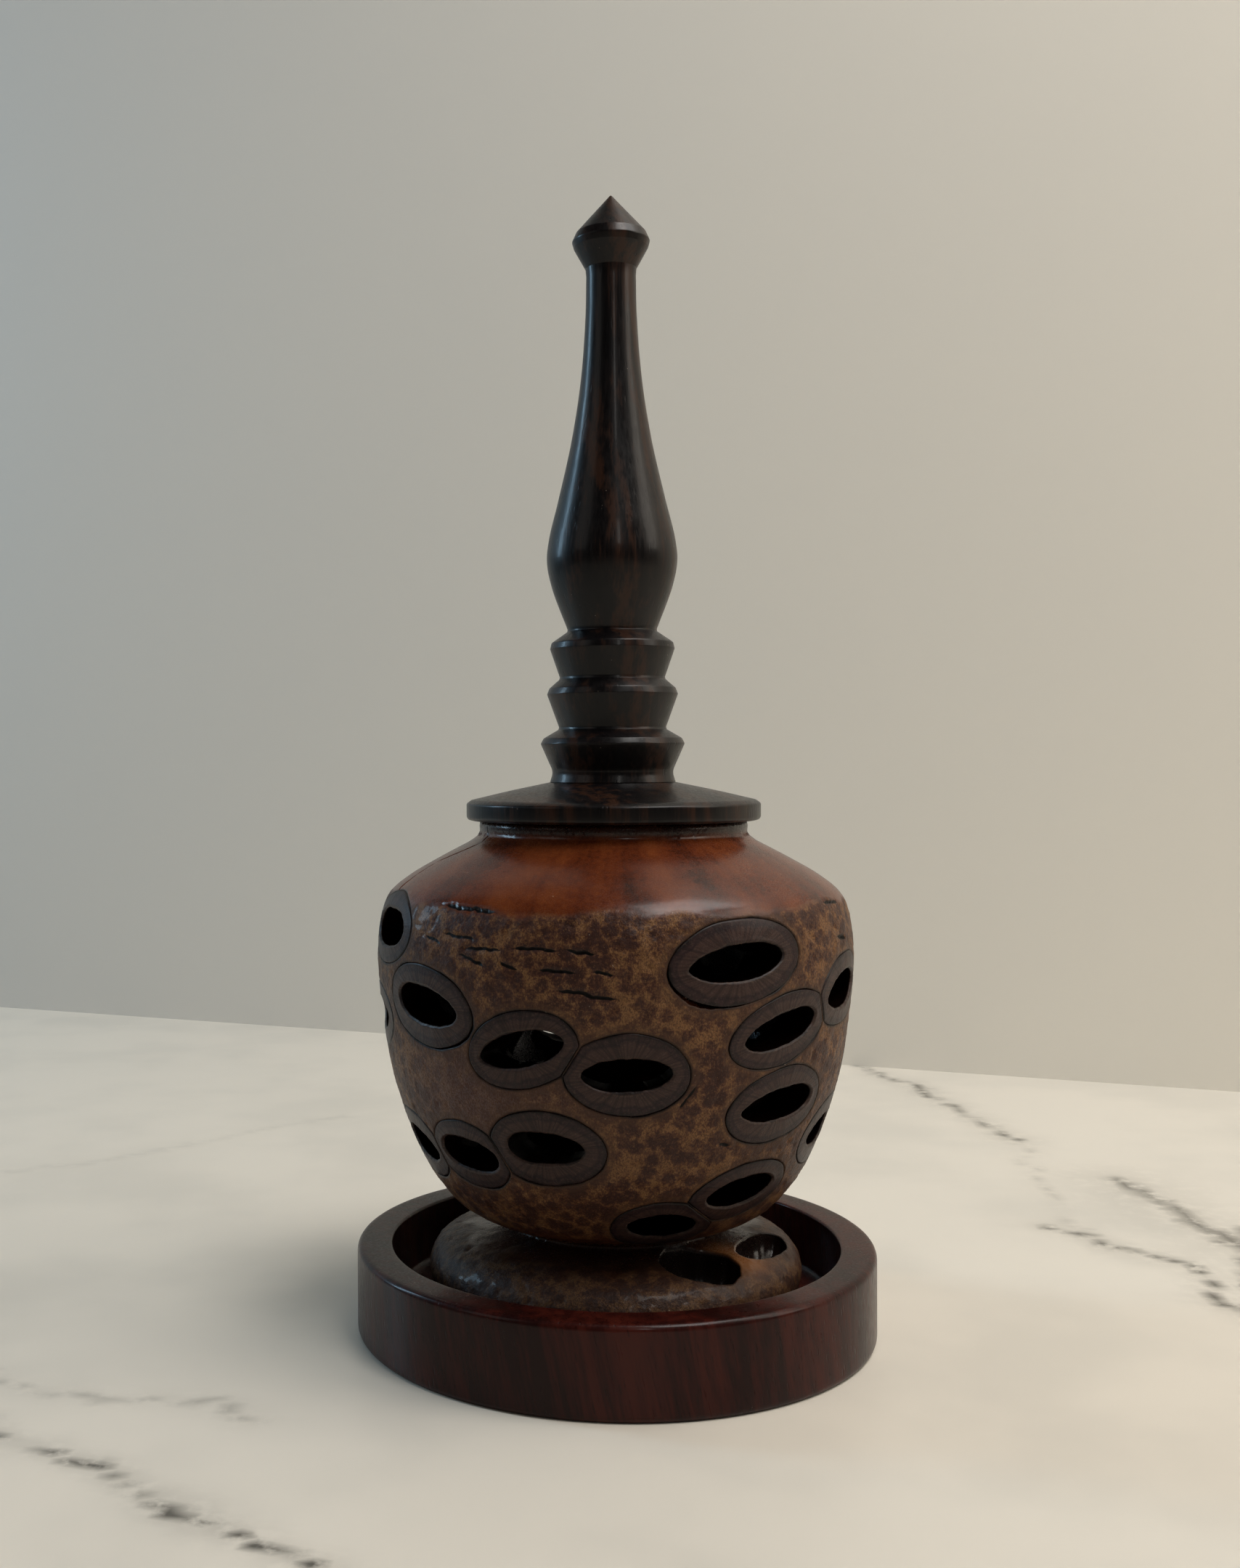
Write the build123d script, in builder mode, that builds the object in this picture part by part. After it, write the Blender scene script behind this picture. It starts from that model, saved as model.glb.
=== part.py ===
from build123d import *
import os
from math import cos, radians, sin

# Lidded pot turned from a banksia seed cone, with a finial lid, standing in a turned wood dish.
# Millimetres. +Z is up, the origin is the centre of the dish's underside, and the front faces -Y.
# Azimuths are in degrees from the front (-Y) towards +X.

# ---------------------------------------------------------------- dish
DISH_RADIUS = 42.2
DISH_HEIGHT = 14.0
DISH_FLOOR = 4.0            # top of the floor inside
DISH_INNER_RADIUS = 36.5
DISH_EDGE_ROUND = 1.2       # outer edges of the rim and of the base
DISH_LIP_ROUND = 0.5
DISH_CORNER_ROUND = 2.0     # where the inner wall meets the floor

# ---------------------------------------------------------------- pot
RIM_TOP = 82.8              # the lid rests here
MOUTH_RADIUS = 17.6
COLLAR_RADIUS = 21.9
COLLAR_ROUND = 0.5
COLLAR_BASE = 80.6
FOOT_FLAT_RADIUS = 26.8
# outside of the belly, from the foot of the collar, over the shoulder and down to the waist
BELLY_OUTLINE = [
    (23.3, 79.4), (28.8, 76.5), (33.4, 73.8), (36.5, 71.2), (37.9, 68.0), (38.6, 61.0),
    (37.8, 51.5), (36.4, 42.8), (33.2, 32.8), (29.9, 26.2), (25.6, 21.2), (20.8, 18.7), (17.9, 18.0),
]
WAIST = (17.1, 17.2)
# the foot: a rounded bead, from the waist outwards and down to the flat it stands on
FOOT_OUTLINE = [(18.4, 16.4), (24.6, 15.4), (28.6, 13.8), (30.3, 11.0), (29.5, 7.0), (26.8, 4.0)]
# the hollow inside, from the floor up to the throat
CAVITY_FLOOR = 25.0
CAVITY_OUTLINE = [
    (9.0, 25.0), (21.0, 28.6), (27.0, 38.0), (30.4, 49.0), (31.2, 60.0), (27.8, 69.0), (17.6, 75.6),
]

# ---------------------------------------------------------------- follicles in the pot's wall
PLUG_DEPTH = 12.0           # how far a follicle's woody ring runs in from the outside
BLIND_DEPTH = 9.0           # depth of a slot that has solid wood behind it
CUTTER_REACH = 46.0         # radius that every cutter ends at, outside the pot
BLIND_BELOW = 25.0          # slots centred lower than this don't reach the hollow
# azimuth, height, half length and half height of the slot, half length and half height of the ring, tilt
FOLLICLES = [
    (-68, 66.6, 7.0, 2.9, 9.6, 5.6, 0),
    (-48, 55.9, 7.2, 2.8, 10.0, 6.2, -7),
    (-21, 51.0, 6.9, 2.6, 9.0, 5.7, 14),
    (3, 47.8, 6.6, 2.4, 9.0, 6.1, 2),
    (28, 63.6, 7.9, 2.6, 11.0, 6.1, 6),
    (41, 53.2, 7.3, 2.4, 9.9, 5.1, 13),
    (67, 57.4, 6.4, 2.7, 9.2, 5.4, 8),
    (43, 41.8, 7.4, 2.4, 9.9, 5.7, 5),
    (38, 28.3, 6.2, 2.3, 9.0, 4.7, 6),
    (15, 23.4, 5.4, 2.1, 7.6, 4.4, -2),
    (-17, 36.2, 6.0, 2.4, 9.0, 6.0, 0),
    (-41, 33.4, 5.8, 2.5, 7.8, 5.4, -4),
    (-66, 32.4, 5.9, 2.4, 8.0, 5.2, -6),
    (-79, 52.0, 6.4, 2.4, 8.9, 5.2, 4),
    (71, 35.0, 6.0, 2.3, 8.6, 5.4, 4),
    (92, 45.8, 6.8, 2.5, 9.4, 5.6, 8),
    (100, 62.6, 7.3, 2.6, 10.0, 5.9, -4),
    (104, 31.6, 6.0, 2.4, 8.4, 5.2, 5),
    (123, 51.6, 7.0, 2.5, 9.6, 5.7, 10),
    (133, 38.2, 6.5, 2.4, 9.0, 5.4, -5),
    (137, 65.4, 7.4, 2.7, 10.2, 5.6, 5),
    (158, 50.0, 7.1, 2.6, 9.8, 5.9, -8),
    (167, 30.4, 6.0, 2.3, 8.6, 5.2, 4),
    (176, 63.6, 7.2, 2.6, 9.7, 5.7, 7),
    (-166, 43.6, 7.0, 2.5, 9.6, 5.5, 6),
    (-145, 58.8, 7.2, 2.6, 9.8, 5.8, -5),
    (-141, 32.4, 6.2, 2.4, 8.8, 5.4, 7),
    (-130, 46.6, 6.9, 2.5, 9.4, 5.6, 9),
    (-107, 63.8, 7.0, 2.6, 9.5, 5.6, 3),
    (-101, 39.4, 6.6, 2.4, 9.2, 5.5, -6),
]
# follicles that the waist was turned through: azimuth, radius, half length, half width, floor height
FOOT_POCKETS = [(33, 23.4, 7.4, 4.6, 8.0), (73, 25.0, 7.4, 3.1, 10.6)]
POCKET_TOP = 16.4

# ---------------------------------------------------------------- lid
LID_RADIUS = 24.0
LID_EDGE_TOP = 85.3
LID_EDGE_ROUND = 0.8
LAND_RADIUS = 10.3          # flat that the finial stands on
LAND_HEIGHT = 88.9
SPIGOT_RADIUS = 17.3
SPIGOT_BOTTOM = 78.3
TENON_RADIUS = 4.0
TENON_BOTTOM = 81.0
GLUE_GAP = 0.05
TENON_END_GAP = 0.5

# ---------------------------------------------------------------- finial
FINIAL_TOP = 184.6
CAP_CONE = [(0.25, 184.45), (5.7, 178.4)]
GIRDLE = [(6.35, 177.2), (6.05, 176.0)]
CAP_BASE = (4.15, 172.6)
NECK = (4.05, 171.4)
BULB = [
    (4.2, 164.8), (5.0, 154.5), (6.6, 144.4), (8.7, 135.2),
    (10.3, 128.6), (10.65, 125.0), (9.85, 120.8), (7.3, 113.9),
]
# each collar: the crease above it, then its upper edge, its widest point and the crease below
COLLARS = [
    [(7.35, 113.5), (9.95, 111.7), (10.18, 110.7), (8.6, 106.1)],
    [(8.7, 105.7), (10.3, 104.3), (10.7, 103.3), (8.75, 97.9)],
    [(8.9, 97.5), (11.3, 96.1), (11.78, 95.2), (9.75, 90.6)],
]
FINIAL_BASE_RADIUS = 10.3

os.makedirs("parts", exist_ok=True)


def radial_plane(azimuth, radius, height, tilt=0.0):
    """A plane that faces outwards at this azimuth, its X axis along the wall and raised by tilt."""
    angle = radians(azimuth)
    lift = radians(tilt)
    outwards = (sin(angle), -cos(angle), 0)
    along = (cos(angle) * cos(lift), sin(angle) * cos(lift), sin(lift))
    origin = (radius * outwards[0], radius * outwards[1], height)
    return Plane(origin=origin, x_dir=along, z_dir=outwards)


def belly_radius(height):
    """Radius of the pot's outside at a height on the belly, along straight runs of its outline."""
    for (upper_radius, upper), (lower_radius, lower) in zip(BELLY_OUTLINE, BELLY_OUTLINE[1:]):
        if lower <= height <= upper:
            share = (height - lower) / (upper - lower)
            return lower_radius + share * (upper_radius - lower_radius)
    return BELLY_OUTLINE[-1][0]


def write(part, name):
    """Label a finished piece and write it to its own STEP file."""
    part.label = name
    export_step(part, f"parts/{name}.step")


# ---------------------------------------------------------------- the dish
with BuildPart() as dish:
    Cylinder(DISH_RADIUS, DISH_HEIGHT, align=(Align.CENTER, Align.CENTER, Align.MIN))
    with BuildSketch(Plane.XY.offset(DISH_FLOOR)):
        Circle(DISH_INNER_RADIUS)
    extrude(amount=DISH_HEIGHT - DISH_FLOOR, mode=Mode.SUBTRACT)
    circles = dish.edges().filter_by(GeomType.CIRCLE)
    outer_edges = circles.filter_by(lambda edge: abs(edge.radius - DISH_RADIUS) < 0.01)
    fillet(outer_edges, DISH_EDGE_ROUND)
    inner_edges = dish.edges().filter_by(GeomType.CIRCLE)
    inner_edges = inner_edges.filter_by(lambda edge: abs(edge.radius - DISH_INNER_RADIUS) < 0.01)
    fillet(inner_edges.sort_by(Axis.Z)[-1], DISH_LIP_ROUND)
    inner_edges = dish.edges().filter_by(GeomType.CIRCLE)
    inner_edges = inner_edges.filter_by(lambda edge: abs(edge.radius - DISH_INNER_RADIUS) < 0.01)
    fillet(inner_edges.sort_by(Axis.Z)[0], DISH_CORNER_ROUND)
write(dish.part, "dish")

# ---------------------------------------------------------------- the pot before its follicles are cut
with BuildPart() as pot_blank:
    with BuildSketch(Plane.XZ):
        with BuildLine():
            Line((0, CAVITY_FLOOR), CAVITY_OUTLINE[0])
            inside = Spline(*CAVITY_OUTLINE, tangents=[(1, 0), (-0.5, 1)])
            Line(inside @ 1, (MOUTH_RADIUS, RIM_TOP))
            Line((MOUTH_RADIUS, RIM_TOP), (COLLAR_RADIUS - COLLAR_ROUND, RIM_TOP))
            RadiusArc((COLLAR_RADIUS - COLLAR_ROUND, RIM_TOP), (COLLAR_RADIUS, RIM_TOP - COLLAR_ROUND),
                      COLLAR_ROUND)
            Line((COLLAR_RADIUS, RIM_TOP - COLLAR_ROUND), (COLLAR_RADIUS, COLLAR_BASE))
            Line((COLLAR_RADIUS, COLLAR_BASE), BELLY_OUTLINE[0])
            belly = Spline(*BELLY_OUTLINE, tangents=[(1.9, -1), (-1, -0.1)])
            ThreePointArc(belly @ 1, WAIST, FOOT_OUTLINE[0])
            foot = Spline(*FOOT_OUTLINE, tangents=[(1, -0.1), (-1, -0.9)])
            Line(foot @ 1, (0, FOOT_OUTLINE[-1][1]))
            Line((0, FOOT_OUTLINE[-1][1]), (0, CAVITY_FLOOR))
        make_face()
    revolve(axis=Axis.Z)
    for azimuth, radius, half_length, half_width, floor in FOOT_POCKETS:
        angle = radians(azimuth)
        centre = (radius * sin(angle), -radius * cos(angle), floor)
        with BuildSketch(Plane(origin=centre, x_dir=(cos(angle), sin(angle), 0), z_dir=(0, 0, 1))):
            Ellipse(half_length, half_width)
        extrude(amount=POCKET_TOP - floor, mode=Mode.SUBTRACT)

# ---------------------------------------------------------------- the follicles' woody rings
sockets = []
for number, (azimuth, height, slot_a, slot_b, ring_a, ring_b, tilt) in enumerate(FOLLICLES, start=1):
    wall_radius = belly_radius(height)
    start = wall_radius - PLUG_DEPTH
    with BuildPart() as socket:
        with BuildSketch(radial_plane(azimuth, start, height, tilt)):
            Ellipse(ring_a, ring_b)
        extrude(amount=CUTTER_REACH - start)
    slot_start = wall_radius - BLIND_DEPTH if height < BLIND_BELOW else start - 1
    with BuildPart() as follicle:
        add(socket.part)
        add(pot_blank.part, mode=Mode.INTERSECT)
        for earlier in sockets:
            add(earlier, mode=Mode.SUBTRACT)
        with BuildSketch(radial_plane(azimuth, slot_start, height, tilt)):
            with BuildLine():
                ThreePointArc((-slot_a, 0), (0, slot_b), (slot_a, 0))
                ThreePointArc((slot_a, 0), (0, -slot_b), (-slot_a, 0))
            make_face()
        extrude(amount=CUTTER_REACH - slot_start, mode=Mode.SUBTRACT)
    sockets.append(socket.part)
    write(follicle.part, f"follicle_{number:02d}")

# ---------------------------------------------------------------- the pot's body around them
with BuildPart() as pot_body:
    add(pot_blank.part)
    for socket_part in sockets:
        add(socket_part, mode=Mode.SUBTRACT)
write(pot_body.part, "pot_body")

# ---------------------------------------------------------------- the lid's disc
with BuildPart() as lid_disc:
    with BuildSketch(Plane.XZ):
        with BuildLine():
            Polyline(
                (0, SPIGOT_BOTTOM), (SPIGOT_RADIUS, SPIGOT_BOTTOM), (SPIGOT_RADIUS, RIM_TOP),
                (LID_RADIUS - LID_EDGE_ROUND, RIM_TOP),
            )
            RadiusArc((LID_RADIUS - LID_EDGE_ROUND, RIM_TOP), (LID_RADIUS, RIM_TOP + LID_EDGE_ROUND),
                      -LID_EDGE_ROUND)
            Line((LID_RADIUS, RIM_TOP + LID_EDGE_ROUND), (LID_RADIUS, LID_EDGE_TOP))
            edge = ThreePointArc((LID_RADIUS, LID_EDGE_TOP), (LID_RADIUS - 0.2, LID_EDGE_TOP + 0.5),
                                 (LID_RADIUS - 0.8, LID_EDGE_TOP + 0.75))
            Spline(edge @ 1, (17.0, 87.5), (LAND_RADIUS, LAND_HEIGHT), tangents=[(-1, 0.12), (-1, 0.25)])
            Polyline((LAND_RADIUS, LAND_HEIGHT), (0, LAND_HEIGHT), (0, SPIGOT_BOTTOM))
        make_face()
    revolve(axis=Axis.Z)
    with BuildSketch(Plane.XY.offset(TENON_BOTTOM - TENON_END_GAP)):
        Circle(TENON_RADIUS + GLUE_GAP)
    extrude(amount=LAND_HEIGHT, mode=Mode.SUBTRACT)
write(lid_disc.part, "lid_disc")

# ---------------------------------------------------------------- the finial
with BuildPart() as finial:
    with BuildSketch(Plane.XZ):
        with BuildLine():
            Polyline((0, TENON_BOTTOM), (TENON_RADIUS, TENON_BOTTOM), (TENON_RADIUS, LAND_HEIGHT),
                     (FINIAL_BASE_RADIUS, LAND_HEIGHT))
            Spline((FINIAL_BASE_RADIUS, LAND_HEIGHT), COLLARS[-1][-1], tangents=[(-1, 1.2), (0, 1)])
            for collar in COLLARS:
                Polyline(*collar)
            for upper, lower in zip(COLLARS, COLLARS[1:]):
                Line(upper[-1], lower[0])
            Line(BULB[-1], COLLARS[0][0])
            Spline(NECK, *BULB, tangents=[(0, -1), (-0.5, -1)])
            Line(CAP_BASE, NECK)
            Line(GIRDLE[-1], CAP_BASE)
            ThreePointArc(CAP_CONE[-1], GIRDLE[0], GIRDLE[-1])
            Line(*CAP_CONE)
            Line((0, FINIAL_TOP), CAP_CONE[0])
            Line((0, FINIAL_TOP), (0, TENON_BOTTOM))
        make_face()
    revolve(axis=Axis.Z)
write(finial.part, "finial")
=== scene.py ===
"""Looks of a lidded pot turned from a banksia seed cone, standing in a low turned dish.

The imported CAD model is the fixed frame. Every visible piece is made here as a mesh on that frame,
rides on its CAD body and stands for its CAD node. Sizes in the classes are in millimetres, heights
are above the dish's underside, and azimuths run from the front (-Y) towards +X.
"""
import logging
import math
from collections.abc import Callable, Iterable
from dataclasses import dataclass, field
from enum import Enum

import bpy
import numpy as np
from mathutils import Euler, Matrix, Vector, noise
from mathutils.geometry import delaunay_2d_cdt
from mathutils.kdtree import KDTree


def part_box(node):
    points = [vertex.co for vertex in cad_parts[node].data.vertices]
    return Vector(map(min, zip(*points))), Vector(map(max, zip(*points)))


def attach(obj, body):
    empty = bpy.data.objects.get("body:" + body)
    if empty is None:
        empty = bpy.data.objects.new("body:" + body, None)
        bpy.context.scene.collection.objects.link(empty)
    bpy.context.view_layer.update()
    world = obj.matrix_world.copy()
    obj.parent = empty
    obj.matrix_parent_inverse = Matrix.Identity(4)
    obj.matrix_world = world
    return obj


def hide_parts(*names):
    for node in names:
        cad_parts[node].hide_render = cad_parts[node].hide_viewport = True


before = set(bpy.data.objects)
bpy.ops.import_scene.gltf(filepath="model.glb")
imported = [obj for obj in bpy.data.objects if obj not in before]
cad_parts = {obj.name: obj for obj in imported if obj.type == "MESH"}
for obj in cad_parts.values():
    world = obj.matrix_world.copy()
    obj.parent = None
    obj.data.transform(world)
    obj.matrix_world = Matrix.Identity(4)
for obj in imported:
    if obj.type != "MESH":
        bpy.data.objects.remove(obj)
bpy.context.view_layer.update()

MM = 0.001
TURN = 2.0 * math.pi
RING_SAMPLES = 128
EXTRA_ROOM, EXTRA_CELL, GRID_ROOM = 0.16, 0.13, 0.30
SIDE_REACH = 1.2    # radians either side of a follicle's middle that its flat layout holds
FAR_AWAY = 1e3
FULL_DEPTH = 0.5    # depth of a crack that is drawn as dark as cracks get
TINY = 1e-6
FLAT_WAY = np.array([1.0, 1.0, 0.0])
log = logging.getLogger("banksia_pot")

Point = tuple[float, float]
Pair = tuple[np.ndarray, np.ndarray]
Colour = tuple[float, float, float, float]


def tint(red: float, green: float, blue: float) -> Colour:
    """Turn a display colour, 0 to 255 per channel, into the linear colour that shaders use."""
    def linear(value: float) -> float:
        share = value / 255.0
        return share / 12.92 if share <= 0.04045 else ((share + 0.055) / 1.055) ** 2.4
    return (linear(red), linear(green), linear(blue), 1.0)


def ramp(values: np.ndarray, low: float, high: float) -> np.ndarray:
    """Smooth step from 0 at low to 1 at high."""
    share = np.clip((values - low) / (high - low), 0.0, 1.0)
    return share * share * (3.0 - 2.0 * share)


# ---------------------------------------------------------------- outlines of turned work
def smooth_curve(points: Iterable[Point], spacing: float) -> list[Point]:
    """Run a smooth curve through an outline's points, with samples this far apart."""
    knots = np.array(list(points), float)
    ends = np.vstack([2 * knots[0] - knots[1], knots, 2 * knots[-1] - knots[-2]])
    out: list[Point] = []
    for index in range(1, len(ends) - 2):
        before, start, stop, after = ends[index - 1:index + 3]
        steps = np.cumsum([0.0] + [math.sqrt(np.linalg.norm(b - a)) for a, b in
                                   ((before, start), (start, stop), (stop, after))])
        count = max(2, int(np.linalg.norm(stop - start) / spacing))
        for at in np.linspace(steps[1], steps[2], count, endpoint=False):
            a1 = (steps[1] - at) / steps[1] * before + at / steps[1] * start
            a2 = ((steps[2] - at) * start + (at - steps[1]) * stop) / (steps[2] - steps[1])
            a3 = ((steps[3] - at) * stop + (at - steps[2]) * after) / (steps[3] - steps[2])
            b1 = ((steps[2] - at) * a1 + at * a2) / steps[2]
            b2 = ((steps[3] - at) * a2 + (at - steps[1]) * a3) / (steps[3] - steps[1])
            out.append(tuple(((steps[2] - at) * b1 + (at - steps[1]) * b2) / (steps[2] - steps[1])))
    out.append(tuple(knots[-1]))
    return out


def rounded_corners(corners: Iterable[tuple[float, float, float]], spacing: float) -> list[Point]:
    """Join corners by straight runs and round each corner.

    Args:
        corners: radius, height and rounding radius of each corner, in order.
        spacing: distance between samples along the straight runs.

    Returns:
        The outline's samples, with every arc divided finely.
    """
    arc_steps, longest_reach = 7, 0.49
    places = [np.array(corner[:2], float) for corner in corners]
    sizes = [corner[2] for corner in corners]
    out: list[Point] = [tuple(places[0])]
    for before, here, after, size in zip(places, places[1:], places[2:], sizes[1:]):
        back = (before - here) / np.linalg.norm(before - here)
        on = (after - here) / np.linalg.norm(after - here)
        half = 0.5 * math.acos(float(np.clip(back @ on, -1.0, 1.0)))
        reach = size / math.tan(half) if size > 0 else 0.0
        reach = min(reach, *(longest_reach * np.linalg.norm(end - here) for end in (before, after)))
        first, last = here + back * reach, here + on * reach
        out += straight(out[-1], tuple(first), spacing)
        if reach > 0:
            for share in np.linspace(0.0, 1.0, arc_steps)[1:]:
                near = (1 - share) ** 2 * first + 2 * share * (1 - share) * here + share ** 2 * last
                out.append(tuple(near))
    return out + straight(out[-1], tuple(places[-1]), spacing)


def straight(start: Point, stop: Point, spacing: float) -> list[Point]:
    """Sample a straight run, leaving out its start."""
    count = max(1, int(math.dist(start, stop) / spacing))
    return [(start[0] + (stop[0] - start[0]) * k / count, start[1] + (stop[1] - start[1]) * k / count)
            for k in range(1, count + 1)]


# ---------------------------------------------------------------- meshes
def link_mesh(name: str, points: np.ndarray, faces: list,
              attributes: dict[str, np.ndarray]) -> bpy.types.Object:
    """Make a smooth-shaded mesh object.

    Args:
        name: the piece's name.
        points: vertices in millimetres.
        faces: vertex indices of each face.
        attributes: one value per vertex for each named mask.

    Returns:
        The new object, linked to the scene.
    """
    mesh = bpy.data.meshes.new(name)
    mesh.from_pydata((points * MM).tolist(), [], faces)
    mesh.validate()
    mesh.shade_smooth()
    for label, values in attributes.items():
        layer = mesh.attributes.new(label, "FLOAT", "POINT")
        layer.data.foreach_set("value", np.ascontiguousarray(values, np.float32))
    piece = bpy.data.objects.new(name, mesh)
    bpy.context.scene.collection.objects.link(piece)
    return piece


def lathe(name: str, outline: list[Point], segments: int) -> bpy.types.Object:
    """Turn an outline about the Z axis.

    Args:
        name: the piece's name.
        outline: radius and height of each sample; it starts and ends on the axis.
        segments: number of steps round the axis.

    Returns:
        A closed mesh object.
    """
    radii, heights = np.array(outline[1:-1], float).T
    angles = np.arange(segments) * TURN / segments
    rings = np.stack([np.outer(radii, np.sin(angles)), np.outer(radii, -np.cos(angles)),
                      np.repeat(heights[:, None], segments, 1)], axis=2).reshape(-1, 3)
    poles = np.array([[0.0, 0.0, outline[0][1]], [0.0, 0.0, outline[-1][1]]])
    points = np.vstack([rings, poles])
    first_pole, last_pole = len(rings), len(rings) + 1
    faces = []
    for row in range(len(radii) - 1):
        base = row * segments
        for step in range(segments):
            following = (step + 1) % segments
            faces.append((base + step, base + following, base + segments + following, base + segments + step))
    top = (len(radii) - 1) * segments
    for step in range(segments):
        following = (step + 1) % segments
        faces.append((first_pole, following, step))
        faces.append((last_pole, top + step, top + following))
    return link_mesh(name, points, faces, {})


def waves(points: np.ndarray, scale: float, seed: float) -> np.ndarray:
    """Smooth random values, about -1 to 1, at points in millimetres with features of this size."""
    shift = Vector((seed * 17.3, seed * -5.1, seed * 9.7))
    return np.array([noise.noise(Vector(point) / scale + shift) for point in points])


def outline_lengths(outline: list[Point]) -> tuple[np.ndarray, np.ndarray, np.ndarray]:
    """Measure an outline.

    Args:
        outline: radius and height of each sample.

    Returns:
        The distance run to each sample, the radii and the heights.
    """
    places = np.array(outline, float)
    runs = np.linalg.norm(np.diff(places, axis=0), axis=1)
    return np.concatenate([[0.0], np.cumsum(runs)]), places[:, 0], places[:, 1]


def rotated(along: np.ndarray, up: np.ndarray, degrees: float) -> Pair:
    """Turn places on a flat layout about its origin."""
    cosine, sine = math.cos(math.radians(degrees)), math.sin(math.radians(degrees))
    return along * cosine - up * sine, along * sine + up * cosine


def wrapped(azimuths: np.ndarray) -> np.ndarray:
    """Bring azimuths into one turn, from -pi to pi."""
    return (azimuths + math.pi) % TURN - math.pi


def round_spots(angles: np.ndarray, seed: float) -> np.ndarray:
    """Places on a circle of radius 1, so that random values drawn there join up."""
    return np.stack([np.cos(angles), np.sin(angles), np.full_like(angles, seed)], axis=1)


def unit(vectors: np.ndarray) -> np.ndarray:
    """Scale each row to length 1."""
    return vectors / np.maximum(np.linalg.norm(vectors, axis=1, keepdims=True), TINY)


# ---------------------------------------------------------------- follicles
@dataclass(frozen=True)
class Follicle:
    """One follicle of the cone: an eye-shaped open slot inside a thick woody ring.

    Lengths and heights are halves, measured from the slot's middle.
    """
    number: int
    azimuth: float
    height: float
    slot_length: float
    slot_height: float
    ring_length: float
    ring_height: float
    tilt: float
    bluntness: float = 2.2
    skew: float = 0.0
    gape: float = 0.0
    gape_at: float = 220.0

    @property
    def node(self) -> str:
        """Name of the CAD node that the ring stands for."""
        return f"follicle_{self.number:02d}"

    def turned(self, along: np.ndarray, up: np.ndarray) -> Pair:
        """Turn places from the follicle's own axes to along the wall and up it."""
        return rotated(along, up, self.tilt)

    def directions(self, count: int) -> np.ndarray:
        """Angles round the follicle, closer together at the slot's pointed ends."""
        turns = np.arange(count) * TURN / count
        return np.arctan2(self.ring_height * np.sin(turns), self.ring_length * np.cos(turns))

    def slot_edge(self, angles: np.ndarray) -> np.ndarray:
        """Distance from the middle to the slot's ragged edge in each direction."""
        halvings, roundness = 30, 0.58
        cosine, sine = np.cos(angles), np.sin(angles)
        low, high = np.zeros_like(angles), np.full_like(angles, self.slot_length)
        for _ in range(halvings):
            middle = 0.5 * (low + high)
            along = np.clip(middle * cosine / self.slot_length, -1.0, 1.0)
            leaned = np.abs(along + self.skew * (1.0 - along ** 2))
            lip = self.slot_height * np.maximum(1.0 - leaned ** self.bluntness, 0.0) ** roundness
            inside = np.abs(middle * sine) < lip
            low, high = np.where(inside, middle, low), np.where(inside, high, middle)
        spots = np.stack([low * cosine, low * sine, np.full_like(low, self.number * 7.0)], axis=1)
        ragged = 0.13 * waves(spots, 1.7, 3.0) + 0.09 * waves(spots, 0.6, 4.0) + 0.05 * waves(spots, 0.3, 4.5)
        return np.maximum(low + ragged * np.minimum(1.0, low / 2.0), 0.4)

    def ring_metric(self, along: np.ndarray, up: np.ndarray) -> np.ndarray:
        """Tell how far out a place is: 1 on the ring's outline, less inside it."""
        own_along, own_up = rotated(along, up, -self.tilt)
        return np.hypot(own_along / self.ring_length, own_up / self.ring_height)


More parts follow.
